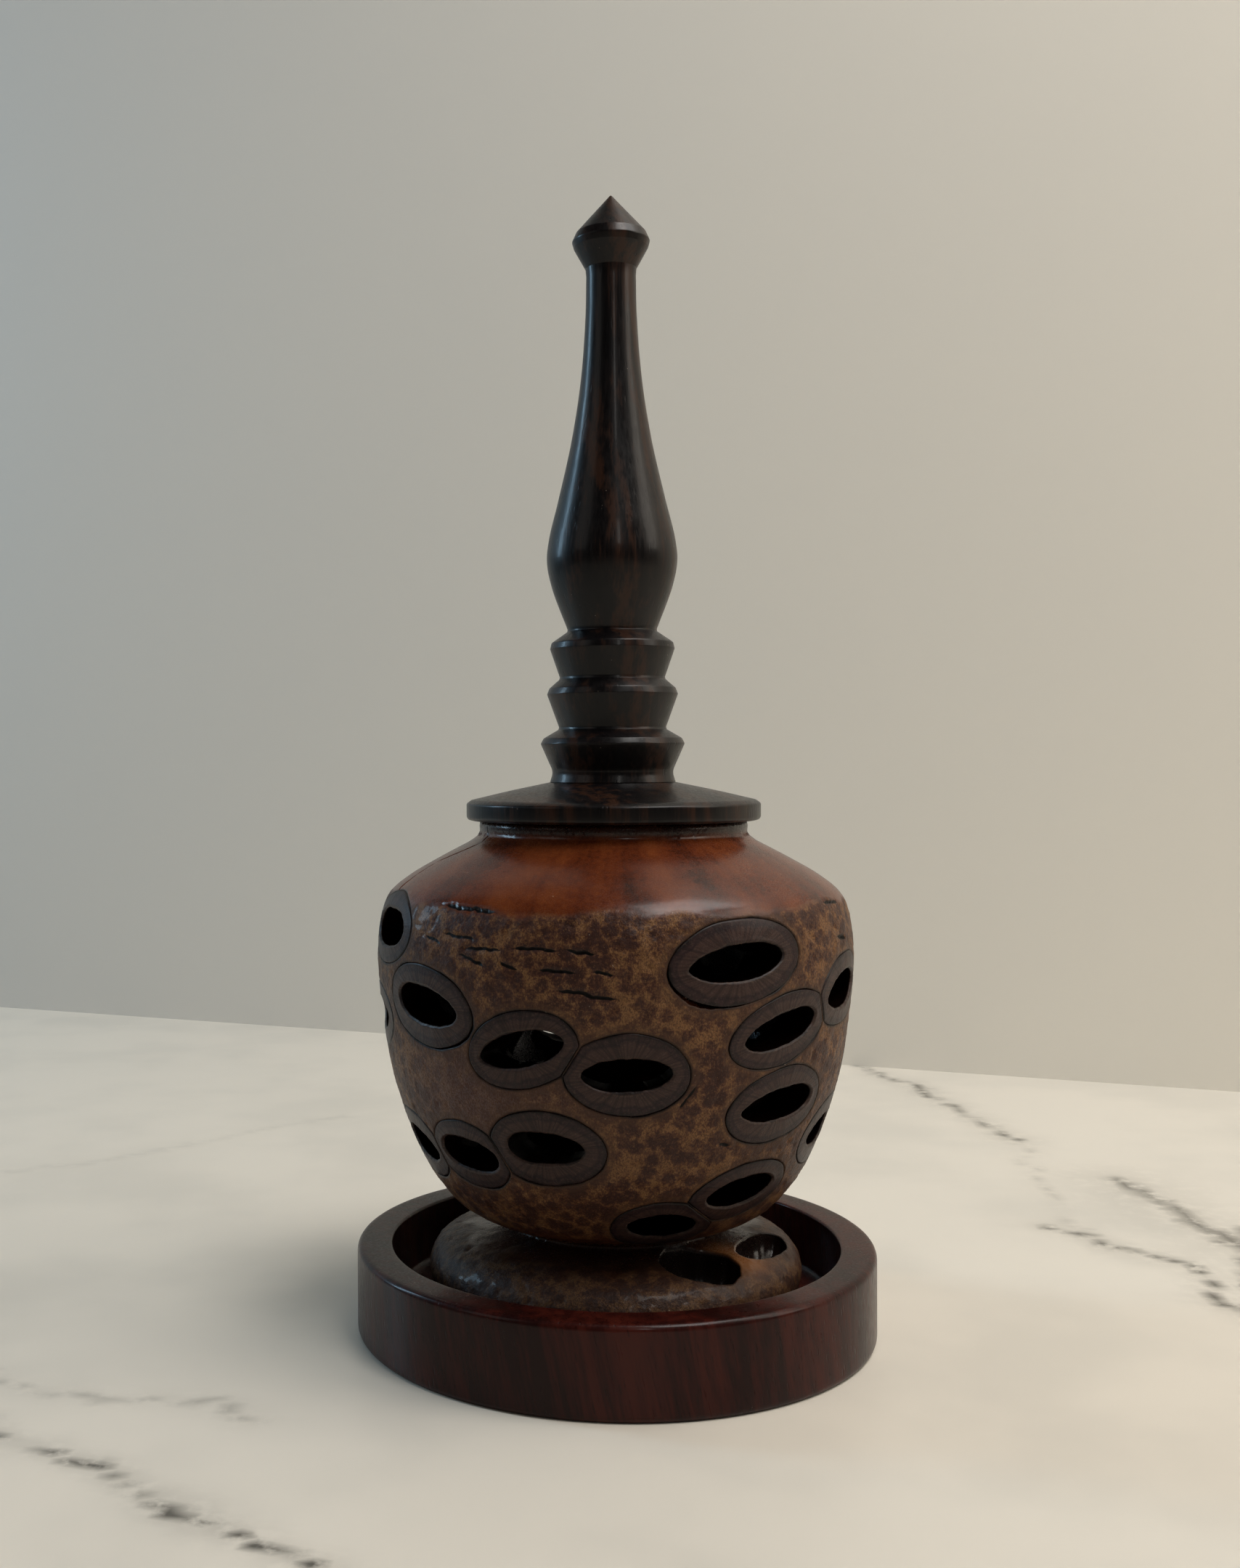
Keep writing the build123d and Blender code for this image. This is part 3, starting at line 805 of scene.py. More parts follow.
class SkinSheet:
    """A flat layout of the pot's skin that is cut into triangles round its openings."""

    def __init__(self, layout_radius: float, margin: float) -> None:
        """Start an empty layout.

        Args:
            layout_radius: turns an azimuth into a distance on the layout.
            margin: how far the layout is repeated past each end, in radians.
        """
        self.layout_radius = layout_radius
        self.margin = margin
        self.azimuths = np.zeros(0)
        self.runs = np.zeros(0)
        self.depth = np.zeros(0)
        self.loop_indices: list[np.ndarray] = []
        self.extra_indices = np.zeros(0, int)
        self.first_row: tuple[int, int] = (0, 0)
        self.last_row: tuple[int, int] = (0, 0)

    def flat(self, azimuths: np.ndarray, runs: np.ndarray) -> np.ndarray:
        """Lay places out flat."""
        return np.stack([azimuths * self.layout_radius, runs], axis=1)

    def append(self, azimuths: np.ndarray, runs: np.ndarray, depth: np.ndarray) -> np.ndarray:
        """Add points, wrapped to one turn, and return their indices."""
        start = len(self.azimuths)
        self.azimuths = np.concatenate([self.azimuths, wrapped(azimuths)])
        self.runs = np.concatenate([self.runs, runs])
        self.depth = np.concatenate([self.depth, depth])
        return np.arange(start, start + len(azimuths))

    def add_loops(self, loops: list[Pair]) -> None:
        """Add the edges of openings."""
        for azimuths, runs in loops:
            self.loop_indices.append(self.append(azimuths, runs, np.zeros(len(runs))))

    def tree_of(self, indices: np.ndarray) -> KDTree:
        """Build a lookup of the nearest of these points, repeated past both ends."""
        tree = KDTree(3 * len(indices))
        for shift in (-TURN, 0.0, TURN):
            places = self.flat(self.azimuths[indices] + shift, self.runs[indices])
            for index, place in zip(indices, places):
                tree.insert((place[0], place[1], 0.0), int(index))
        tree.balance()
        return tree

    def inside_any(self, azimuths: np.ndarray, runs: np.ndarray) -> np.ndarray:
        """Tell which places lie inside an opening."""
        hit = np.zeros(len(azimuths), bool)
        for ring in self.loop_indices:
            hit |= self.inside(ring, azimuths, runs)
        return hit

    def inside(self, ring: np.ndarray, azimuths: np.ndarray, runs: np.ndarray) -> np.ndarray:
        """Tell which places lie inside one opening's edge."""
        middle = self.azimuths[ring[0]]
        edge_x = wrapped(self.azimuths[ring] - middle)
        edge_y = self.runs[ring]
        x = wrapped(azimuths - middle)
        near = (np.abs(x) < SIDE_REACH) & (runs > edge_y.min()) & (runs < edge_y.max())
        result = np.zeros(len(azimuths), bool)
        px, py = x[near], runs[near]
        odd = np.zeros(len(px), bool)
        for ax, ay, bx, by in zip(edge_x, edge_y, np.roll(edge_x, -1), np.roll(edge_y, -1)):
            if ay == by:
                continue
            crosses = (ay > py) != (by > py)
            odd ^= crosses & (px < (bx - ax) * (py - ay) / (by - ay) + ax)
        result[near] = odd
        return result

    def clear_of(self, taken: list[np.ndarray], azimuths: np.ndarray, runs: np.ndarray, room: float) -> Pair:
        """Tell which places have this much room, outside every opening, and lay them out flat."""
        places = self.flat(wrapped(azimuths), runs)
        clear = self.nearest(taken, places) > room
        return clear & ~self.inside_any(azimuths, runs), places

    def nearest(self, taken: list[np.ndarray], places: np.ndarray) -> np.ndarray:
        """Distance of each flat place from the nearest of the taken points."""
        tree = self.tree_of(np.concatenate(taken))
        return np.array([tree.find((place[0], place[1], 0.0))[2] for place in places])

    def add_extras(self, azimuths: np.ndarray, runs: np.ndarray, depth: np.ndarray) -> None:
        """Add cracks and the points beside openings, where they have room."""
        keep, places = self.clear_of(self.loop_indices, azimuths, runs, EXTRA_ROOM)
        kept: list[int] = []
        cells: set[tuple[int, int]] = set()
        for index in np.flatnonzero(keep):
            cell = (int(places[index][0] / EXTRA_CELL), int(places[index][1] / EXTRA_CELL))
            if cell not in cells:
                cells.add(cell)
                kept.append(int(index))
        self.extra_indices = self.append(azimuths[kept], runs[kept], depth[kept])

    def add_grid(self, azimuths: np.ndarray, runs: np.ndarray, rows: list[tuple[int, int]]) -> None:
        """Add the regular points that keep clear of openings and cracks."""
        keep = self.clear_of([*self.loop_indices, self.extra_indices], azimuths, runs, GRID_ROOM)[0]
        numbers = np.cumsum(keep) - 1 + len(self.azimuths)
        self.first_row, self.last_row = (
            (int(numbers[start]), int(numbers[stop - 1]) + 1) for start, stop in (rows[0], rows[-1]))
        self.append(azimuths[keep], runs[keep], np.zeros(int(keep.sum())))

    def triangles(self) -> list[tuple[int, int, int]]:
        """Cut the layout into triangles, leaving the openings out."""
        count = len(self.azimuths)
        ids, places = [np.arange(count)], [self.flat(self.azimuths, self.runs)]
        copies: dict[int, np.ndarray] = {}
        total = count
        for turn in (-TURN, TURN):
            shifted = self.azimuths + turn
            close = np.flatnonzero((shifted > -math.pi - self.margin) & (shifted < math.pi + self.margin))
            lookup = np.full(count, -1)
            lookup[close] = np.arange(total, total + len(close))
            copies[1 if turn > 0 else -1] = lookup
            ids.append(close)
            places.append(self.flat(shifted[close], self.runs[close]))
            total += len(close)
        real = np.concatenate(ids)
        flat = np.vstack(places)
        edges: list[tuple[int, int]] = []
        for ring in self.loop_indices:
            edges += self.loop_edges(ring, copies)
        result = delaunay_2d_cdt([Vector(place) for place in flat], edges, [], 0, 1e-7)
        sources = np.array([group[0] for group in result[3]])
        owner, layout = real[sources], flat[sources]
        cut = np.array(result[2], int)
        middles = layout[cut].mean(axis=1)
        half = math.pi * self.layout_radius
        wanted = (middles[:, 0] >= -half) & (middles[:, 0] < half)
        cut, middles = cut[wanted], middles[wanted]
        solid = ~self.inside_any(middles[:, 0] / self.layout_radius, middles[:, 1])
        return [tuple(int(corner) for corner in face) for face in owner[cut[solid]]]

    def loop_edges(self, ring: np.ndarray, copies: dict[int, np.ndarray]) -> list[tuple[int, int]]:
        """List the edges of an opening in every copy of the layout that holds them whole."""
        edges = []
        for near, far in zip(ring, np.roll(ring, -1)):
            step = self.azimuths[far] - self.azimuths[near]
            wrap = 1 if step < -math.pi else -1 if step > math.pi else 0
            for shift in (0, 1, -1):
                start = near if shift == 0 else copies[shift][near]
                stop_shift = shift + wrap
                if stop_shift not in (-1, 0, 1):
                    continue
                stop = far if stop_shift == 0 else copies[stop_shift][far]
                if start >= 0 and stop >= 0:
                    edges.append((int(start), int(stop)))
        return edges

    def edge_distance(self, outer_loops: int) -> np.ndarray:
        """Distance of every point from the nearest opening on the outside."""
        return self.nearest(self.loop_indices[:outer_loops], self.flat(self.azimuths, self.runs))

    def close_poles(self, builder: MeshParts, bottom: float, top: float) -> None:
        """Close the skin's first and last rows to points on the axis."""
        builder.fan(np.arange(*self.first_row)[::-1], np.array([0.0, 0.0, bottom]))
        builder.fan(np.arange(*self.last_row), np.array([0.0, 0.0, top]))


@dataclass
class WoodyRing:
    """The woody ring of one follicle, a closed piece with the open slot through it."""
    follicle: Follicle
    pot: ConePot
    clearance: float = 0.03
    edge_round: float = 0.34

    def build(self) -> bpy.types.Object:
        """Make the ring's mesh."""
        follicle, pot = self.follicle, self.pot
        angles = follicle.directions(RING_SAMPLES)
        slot, outline = follicle.slot_edge(angles), pot.ring_edge(follicle, angles) - self.clearance
        rings: list[np.ndarray] = []
        masks: list[dict[str, float | np.ndarray]] = []
        for share in (0.0, 0.03, 0.07, 0.12, 0.18, 0.26, 0.35, 0.45,
                      0.55, 0.65, 0.75, 0.83, 0.9, 0.945, 0.975, 1.0):
            reach = slot + (outline - slot) * share
            rings.append(self.surface(angles, reach, reach - slot, outline - reach))
            masks.append({"across": share, "depth": 0.0})
        blind = pot.is_blind(follicle)
        edge, rim = rings[0], rings[-1]
        inside = self.wall(edge, outline - slot, blind)
        outside = self.side(rim, blind)
        loops = inside[::-1] + rings + outside
        shades = [{"across": 0.0, "depth": 1.0}] * len(inside) + masks
        shades += [{"across": 1.0, "depth": 0.0}] * len(outside)
        turns = np.arange(RING_SAMPLES) * TURN / RING_SAMPLES
        points = np.vstack(loops)
        values = {label: np.concatenate([np.full(RING_SAMPLES, shade[label]) for shade in shades])
                  for label in ("across", "depth")}
        values["around_x"] = np.tile(np.cos(turns), len(loops))
        values["around_y"] = np.tile(np.sin(turns), len(loops))
        builder = MeshParts(points, [], values)
        order = [np.arange(k * RING_SAMPLES, (k + 1) * RING_SAMPLES) for k in range(len(loops))]
        builder.tube(order[::-1])
        if blind:
            builder.fan(order[0])
            builder.fan(order[-1][::-1])
        else:
            builder.bridge(order[0], order[-1])
        return builder.finish(f"woody_ring_{follicle.number:02d}")

    def surface(self, angles: np.ndarray, reach: np.ndarray,
                from_slot: np.ndarray, from_rim: np.ndarray) -> np.ndarray:
        """Place one loop of the ring's face, rounded over at the slot and at the seam."""
        follicle, pot = self.follicle, self.pot
        along, up = follicle.turned(reach * np.cos(angles), reach * np.sin(angles))
        azimuths, heights = pot.on_wall(follicle, along, up)
        points, normals = pot.place(azimuths, pot.run_at(heights))
        push = -0.24 * (1.0 - ramp(from_slot, 0.0, self.edge_round))
        push -= 0.10 * (1.0 - ramp(from_rim, 0.0, 0.16))
        push += 0.04 * np.exp(-((from_slot - 0.5) / 0.25) ** 2)
        streaks = np.stack([np.cos(angles) * 22.0, np.sin(angles) * 22.0, reach * 0.4], axis=1)
        push += 0.03 * waves(streaks, 1.0, follicle.number) + 0.05 * waves(points, 1.6, 21.0)
        return points + normals * push[:, None]

    def wall(self, edge: np.ndarray, room: np.ndarray, blind: bool) -> list[np.ndarray]:
        """Make the slot's inner wall, which is undercut behind its edge, then closes or breaks through."""
        follicle, pot = self.follicle, self.pot
        azimuth = math.radians(follicle.azimuth)
        inwards = np.array([-math.sin(azimuth), math.cos(azimuth), 0.0])
        if blind:
            depth = np.full(RING_SAMPLES, pot.blind_depth - 1.0)
        else:
            depth = np.hypot(edge[:, 0], edge[:, 1]) - pot.inner_radius_at(edge[:, 2])
        middle = edge.mean(axis=0)
        away = unit(edge - middle)
        reach = np.minimum(0.4 * room, 1.3)
        loops = []
        for share, swell in ((0.04, 0.1), (0.1, 0.5), (0.2, 0.85), (0.4, 1.0), (0.7, 0.8), (1.0, 0.2)):
            wobble = 0.16 * waves(edge + inwards * share * 6.0, 1.7, follicle.number * 1.3)
            spread = swell * reach + wobble * share
            loops.append(edge + away * spread[:, None] + inwards * (depth * share)[:, None])
        return loops

    def side(self, rim: np.ndarray, blind: bool) -> list[np.ndarray]:
        """Make the ring's outer side, hidden in its socket."""
        inwards = rim * FLAT_WAY
        radii = np.linalg.norm(inwards, axis=1)
        inwards = -inwards / radii[:, None]
        depth = self.pot.blind_depth - 0.3 if blind else radii - self.pot.inner_radius_at(rim[:, 2])
        depth = np.broadcast_to(depth, radii.shape)
        return [rim + inwards * (depth * share)[:, None] for share in (0.06, 0.3, 1.0)]


# ---------------------------------------------------------------- turned pieces
@dataclass(frozen=True)
class TurnedDish:
    """The low dish the pot stands in: a flat floor inside a thick upright wall."""
    name: str = "turned_dish"
    radius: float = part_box("dish")[1].x / MM
    height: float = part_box("dish")[1].z / MM
    floor: float = 4.0
    inner_radius: float = 36.5
    edge_round: float = 1.2
    lip_round: float = 0.5
    corner_round: float = 2.0
    segments: int = 360

    def build(self) -> bpy.types.Object:
        """Make the dish's mesh."""
        corners = [(0.0, 0.0, 0.0), (self.radius, 0.0, self.edge_round),
                   (self.radius, self.height, self.edge_round),
                   (self.inner_radius, self.height, self.lip_round),
                   (self.inner_radius, self.floor, self.corner_round), (0.0, self.floor, 0.0)]
        return lathe(self.name, rounded_corners(corners, 1.2), self.segments)


@dataclass(frozen=True)
class TurnedLidDisc:
    """The lid's thin domed disc, with the spigot below that sits in the pot's mouth."""
    name: str = "turned_lid_disc"
    radius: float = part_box("lid_disc")[1].x / MM
    bottom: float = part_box("lid_disc")[0].z / MM
    land_height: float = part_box("lid_disc")[1].z / MM
    underside: float = 82.8
    edge_top: float = 85.3
    land_radius: float = 10.3
    spigot_radius: float = 17.3
    hole_radius: float = 4.05
    hole_bottom: float = 80.5
    segments: int = 320

    def build(self) -> bpy.types.Object:
        """Make the lid disc's mesh."""
        dome = [(self.radius - 0.8, self.edge_top + 0.75), (17.0, 87.5), (self.land_radius, self.land_height)]
        corners = [(0.0, self.bottom, 0.0), (self.spigot_radius, self.bottom, 0.5),
                   (self.spigot_radius, self.underside, 0.2), (self.radius, self.underside, 0.8),
                   (self.radius, self.edge_top + 0.2, 0.5), (self.radius - 0.8, self.edge_top + 0.75, 0.0)]
        hole = [(self.land_radius, self.land_height, 0.0), (self.hole_radius, self.land_height, 0.0),
                (self.hole_radius, self.hole_bottom, 0.0), (0.0, self.hole_bottom, 0.0)]
        outline = rounded_corners(corners, 0.8) + smooth_curve(dome, 0.6)[1:] + rounded_corners(hole, 1.2)[1:]
        return lathe(self.name, outline, self.segments)


@dataclass(frozen=True)
class TurnedFinial:
    """The tall finial: three sharp collars, a long slender bulb and a pointed cap."""
    name: str = "turned_finial"
    tip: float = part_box("finial")[1].z / MM
    tenon_bottom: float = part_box("finial")[0].z / MM
    tenon_radius: float = 4.0
    base_height: float = 88.9
    base_radius: float = 10.3
    collars: tuple[tuple[float, float, float], ...] = (
        (9.75, 90.6, 2.2), (11.78, 95.2, 0.35), (11.3, 96.1, 0.5), (8.9, 97.5, 0.2),
        (8.75, 97.9, 0.3), (10.7, 103.3, 0.3), (10.3, 104.3, 0.5), (8.7, 105.7, 0.2),
        (8.6, 106.1, 0.3), (10.18, 110.7, 0.3), (9.95, 111.7, 0.5), (7.35, 113.5, 0.15))
    bulb: tuple[Point, ...] = (
        (7.3, 113.9), (9.85, 120.8), (10.65, 125.0), (10.3, 128.6), (8.7, 135.2), (6.6, 144.4),
        (5.0, 154.5), (4.2, 164.8), (4.05, 171.4))
    cap: tuple[tuple[float, float, float], ...] = (
        (4.15, 172.6, 0.12), (6.05, 176.0, 0.5), (6.35, 177.0, 0.45), (5.7, 178.4, 0.5))
    segments: int = 256

    def build(self) -> bpy.types.Object:
        """Make the finial's mesh."""
        lower = [(0.0, self.tenon_bottom, 0.0), (self.tenon_radius, self.tenon_bottom, 0.3),
                 (self.tenon_radius, self.base_height, 0.0), (self.base_radius, self.base_height, 0.1),
                 *self.collars, (*self.bulb[0], 0.0)]
        upper = [(*self.bulb[-1], 0.0), *self.cap, (0.22, self.tip - 0.15, 0.1), (0.0, self.tip, 0.0)]
        outline = rounded_corners(lower, 0.45) + smooth_curve(self.bulb, 0.45)[1:]
        outline += rounded_corners(upper, 0.4)[1:]
        return lathe(self.name, outline, self.segments)


# ---------------------------------------------------------------- shading
Socket = bpy.types.NodeSocket
Feed = Socket | float | tuple


class Interp(Enum):
    """How a value moves between two limits."""
    STRAIGHT = "LINEAR"
    SMOOTH = "SMOOTHSTEP"


class Tree:
    """A node tree being wired up, in a material or in a shared effect."""

    def __init__(self, nodes: bpy.types.NodeTree) -> None:
        """Start wiring this node tree."""
        self.tree = nodes

    def make(self, kind: str, feeds: dict[str | int, Feed], **settings: object) -> bpy.types.Node:
        """Add a node, set its settings and feed its inputs.

        Args:
            kind: the node's type.
            feeds: a socket or a constant for each named or numbered input.
            settings: properties of the node.

        Returns:
            The node.
        """
        node = self.tree.nodes.new(kind)
        for label, value in settings.items():
            setattr(node, label, value)
        self.feed(node, feeds)
        return node

    def feed(self, node: bpy.types.Node, feeds: dict[str | int, Feed]) -> None:
        """Give a node's inputs their sockets and constants."""
        for label, value in feeds.items():
            if isinstance(value, Socket):
                self.tree.links.new(value, node.inputs[label])
            else:
                node.inputs[label].default_value = value

    def place(self) -> Socket:
        """Place on the piece, in millimetres."""
        place = self.make("ShaderNodeTexCoord", {}).outputs["Object"]
        return self.scaled(place, 1.0 / MM, 1.0 / MM, 1.0 / MM)

    def scaled(self, vector: Socket, x: float, y: float, z: float) -> Socket:
        """Stretch a vector along each axis."""
        return self.vectors("MULTIPLY", vector, (x, y, z))

    def vectors(self, operation: str, first: Feed, second: Feed = (0.0, 0.0, 0.0)) -> Socket:
        """Do sums with one or two vectors and return the vector."""
        return self.make("ShaderNodeVectorMath", {0: first, 1: second}, operation=operation).outputs[0]

    def moved(self, vector: Socket, shift: Socket, strength: float) -> Socket:
        """Push a vector about by a random colour."""
        centred = self.vectors("SUBTRACT", shift, (0.5, 0.5, 0.5))
        return self.vectors("ADD", vector, self.scaled(centred, strength, strength, strength))

    def noise(self, vector: Socket, size: float, detail: float = 2.0, rough: float = 0.5,
              output: str = "Fac") -> Socket:
        """Smooth random values with features of this size."""
        feeds = {"Vector": vector, "Scale": 1.0 / size, "Detail": detail, "Roughness": rough}
        return self.make("ShaderNodeTexNoise", feeds).outputs[output]

    def cells(self, vector: Socket, size: float) -> Socket:
        """Distance from the middles of cells of this size."""
        return self.make("ShaderNodeTexVoronoi", {"Vector": vector, "Scale": 1.0 / size}).outputs["Distance"]

    def math(self, operation: str, first: Feed, second: Feed = 0.0) -> Socket:
        """Do sums with one or two values."""
        return self.make("ShaderNodeMath", {0: first, 1: second}, operation=operation).outputs[0]

    def times(self, first: Feed, second: Feed) -> Socket:
        """Multiply two values."""
        return self.math("MULTIPLY", first, second)

    def plus(self, first: Feed, second: Feed) -> Socket:
        """Add two values."""
        return self.math("ADD", first, second)

    def span(self, value: Socket, low: float, high: float, to_low: float = 0.0, to_high: float = 1.0,
             how: Interp = Interp.SMOOTH) -> Socket:
        """Move a value from one range to another, and hold it there."""
        feeds = {"Value": value, "From Min": low, "From Max": high, "To Min": to_low, "To Max": to_high}
        return self.make("ShaderNodeMapRange", feeds, interpolation_type=how.value).outputs["Result"]

    def blend(self, first: Feed, second: Feed, share: Feed) -> Socket:
        """Mix two colours."""
        return self.make("ShaderNodeMix", {0: share, 6: first, 7: second}, data_type="RGBA").outputs[2]

    def stops(self, value: Socket, stops: Iterable[tuple[float, Colour]]) -> Socket:
        """Turn a value into a colour through these stops."""
        node = self.make("ShaderNodeValToRGB", {"Fac": value})
        stops = list(stops)
        while len(node.color_ramp.elements) < len(stops):
            node.color_ramp.elements.new(0.5)
        for element, (position, colour) in zip(node.color_ramp.elements, stops):
            element.position = position
            element.color = colour
        return node.outputs["Color"]

    def mask(self, name: str) -> Socket:
        """Read a mask stored on the mesh."""
        return self.make("ShaderNodeAttribute", {}, attribute_name=name).outputs["Fac"]

    def bump(self, height: Socket, distance: float) -> Socket:
        """Turn a height into a normal, for relief this many millimetres deep."""
        feeds = {"Height": height, "Distance": distance * MM, "Strength": 1.0}
        return self.make("ShaderNodeBump", feeds).outputs["Normal"]

    def effect(self, shared: bpy.types.NodeTree, feeds: dict[str, Feed]) -> bpy.types.bpy_prop_collection:
        """Use a shared effect and return its outputs."""
        return self.make("ShaderNodeGroup", feeds, node_tree=shared).outputs


Wiring = Callable[[Tree, bpy.types.bpy_prop_collection], dict[str, Socket]]


def shared_effect(name: str, inputs: Iterable[str], outputs: Iterable[str],
                  wire: Wiring) -> bpy.types.NodeTree:
    """Make a node group that several materials use.

    Args:
        name: the group's name.
        inputs: names of the inputs, which are all vectors.
        outputs: names of the outputs, which are all values.
        wire: builds the inside from the inputs and returns a socket for each output.

    Returns:
        The node group.
    """
    made = bpy.data.node_groups.new(name, "ShaderNodeTree")
    for label in inputs:
        made.interface.new_socket(label, in_out="INPUT", socket_type="NodeSocketVector")
    for label in outputs:
        made.interface.new_socket(label, in_out="OUTPUT", socket_type="NodeSocketFloat")
    entry, leaving = made.nodes.new("NodeGroupInput"), made.nodes.new("NodeGroupOutput")
    for label, socket in wire(Tree(made), entry.outputs).items():
        made.links.new(socket, leaving.inputs[label])
    return made


def wire_figure(tree: Tree, inputs: bpy.types.bpy_prop_collection) -> dict[str, Socket]:
    """Wood cut across its growth bands: bands, fine fibres and short dark pores, stretched along Z."""
    place = inputs["Place"]
    long_way = tree.scaled(place, 1.0, 1.0, 0.07)
    swirl = tree.noise(tree.scaled(place, 1.0, 1.0, 0.22), 11.0, 2.0, output="Color")
    warped = tree.moved(place, swirl, 9.0)
    dot = tree.make("ShaderNodeVectorMath", {0: warped, 1: inputs["Lean"]}, operation="DOT_PRODUCT")
    across = dot.outputs["Value"]
    wave = tree.math("SINE", tree.times(across, TURN))
    finer = tree.math("SINE", tree.times(across, TURN * 3.7))
    bands = tree.plus(tree.times(wave, 0.32), tree.times(finer, 0.18))
    fibres = tree.noise(long_way, 0.42, 3.0, 0.6)
    streaks = tree.noise(tree.scaled(place, 1.0, 1.0, 0.03), 1.6, 2.0)
    spots = tree.cells(tree.scaled(place, 1.0, 1.0, 0.16), 0.75)
    return {"Bands": tree.plus(bands, 0.5), "Fibres": fibres, "Streaks": streaks,
            "Pores": tree.span(spots, 0.10, 0.24, 1.0, 0.0)}


def wire_dust(tree: Tree, inputs: bpy.types.bpy_prop_collection) -> dict[str, Socket]:
    """Sparse pale specks of dust and lint."""
    place = inputs["Place"]
    speck = tree.span(tree.cells(place, 1.5), 0.035, 0.075, 1.0, 0.0)
    patch = tree.span(tree.noise(place, 6.0, 1.0), 0.48, 0.62)
    chance = tree.span(tree.noise(place, 1.1, 0.0), 0.5, 0.56)
    return {"Specks": tree.times(tree.times(speck, patch), chance)}


def wire_bracts(tree: Tree, inputs: bpy.types.bpy_prop_collection) -> dict[str, Socket]:
    """Cut-through bracts: round dark blotches in a pale net, with a fine velvety stipple."""
    place = inputs["Place"]
    warped = tree.moved(place, tree.noise(place, 1.1, 3.0, 0.6, output="Color"), 1.3)
    cell = tree.cells(warped, 2.1)
    core = tree.span(cell, 0.0, 0.26, 0.2, 0.0)
    worn = tree.noise(place, 0.5, 4.0, 0.7)
    wide = tree.noise(place, 8.0, 2.0)
    blotch = tree.plus(tree.span(cell, 0.30, 0.78, 0.88, 0.06), tree.span(worn, 0.36, 0.64, -0.34, 0.34))
    blotch = tree.math("SUBTRACT", blotch, core)
    return {"Blotches": tree.plus(blotch, tree.span(wide, 0.3, 0.7, -0.2, 0.24)),
            "Stipple": tree.noise(tree.scaled(place, 1.0, 1.0, 0.6), 0.2, 2.0, 0.7)}


@dataclass(frozen=True)
class Effects:
    """The effects that materials share."""
    figure: bpy.types.NodeTree
    dust: bpy.types.NodeTree
    bracts: bpy.types.NodeTree

    @classmethod
    def make(cls) -> "Effects":
        """Build every shared effect."""
        figure_outputs = ("Bands", "Fibres", "Streaks", "Pores")
        return cls(shared_effect("wood_figure", ("Place", "Lean"), figure_outputs, wire_figure),
                   shared_effect("dust_specks", ("Place",), ("Specks",), wire_dust),
                   shared_effect("bract_net", ("Place",), ("Blotches", "Stipple"), wire_bracts))


def new_material(name: str) -> tuple[bpy.types.Material, Tree, bpy.types.Node]:
    """Start a material and return it with its tree and its Principled node."""
    material = bpy.data.materials.new(name)
    material.use_nodes = True
    return material, Tree(material.node_tree), material.node_tree.nodes["Principled BSDF"]


@dataclass(frozen=True)
class TurnedWoodFinish:
    """Finish of turned and oiled wood with a visible figure."""
    name: str
    dark: Colour
    middle: Colour
    light: Colour
    lean: tuple[float, float, float]
    grain: tuple[float, float, float] = (0.0, 0.0, 0.0)
    roughness: float = 0.32
    coat: float = 0.15
    coat_roughness: float = 0.12
    pore_share: float = 0.6
    dust_share: float = 0.5
    shine: float = 0.4
    contrast: float = 1.0
    dust: Colour = tint(150, 140, 128)

    def material(self, effects: Effects) -> bpy.types.Material:
        """Build the material."""
        material, tree, shader = new_material(self.name)
        place = tree.place()
        turned = tree.make("ShaderNodeVectorRotate", {"Vector": place, "Rotation": self.grain},
                           rotation_type="EULER_XYZ").outputs[0]
        figure = tree.effect(effects.figure, {"Place": turned, "Lean": self.lean})
        dust = tree.effect(effects.dust, {"Place": place})["Specks"]
        value = tree.times(figure["Bands"], self.contrast)
        value = tree.plus(value, 0.5 - 0.5 * self.contrast)
        value = tree.plus(value, tree.span(figure["Streaks"], 0.25, 0.75, -0.38, 0.38))
        value = tree.plus(value, tree.span(figure["Fibres"], 0.3, 0.7, -0.2, 0.2))
        colour = tree.stops(value, ((0.05, self.dark), (0.5, self.middle), (1.0, self.light)))
        pores = tree.times(figure["Pores"], self.pore_share)
        colour = tree.blend(colour, self.dark, pores)
        colour = tree.blend(colour, self.dust, tree.times(dust, self.dust_share))
        rough = tree.span(figure["Fibres"], 0.3, 0.7, self.roughness - 0.05, self.roughness + 0.07)
        height = tree.math("SUBTRACT", tree.times(figure["Fibres"], 0.35), pores)
        tree.feed(shader, {"Base Color": colour, "Roughness": rough, "Normal": tree.bump(height, 0.035),
                           "Coat Weight": self.coat, "Coat Roughness": self.coat_roughness,
                           "Specular IOR Level": self.shine})
        return material


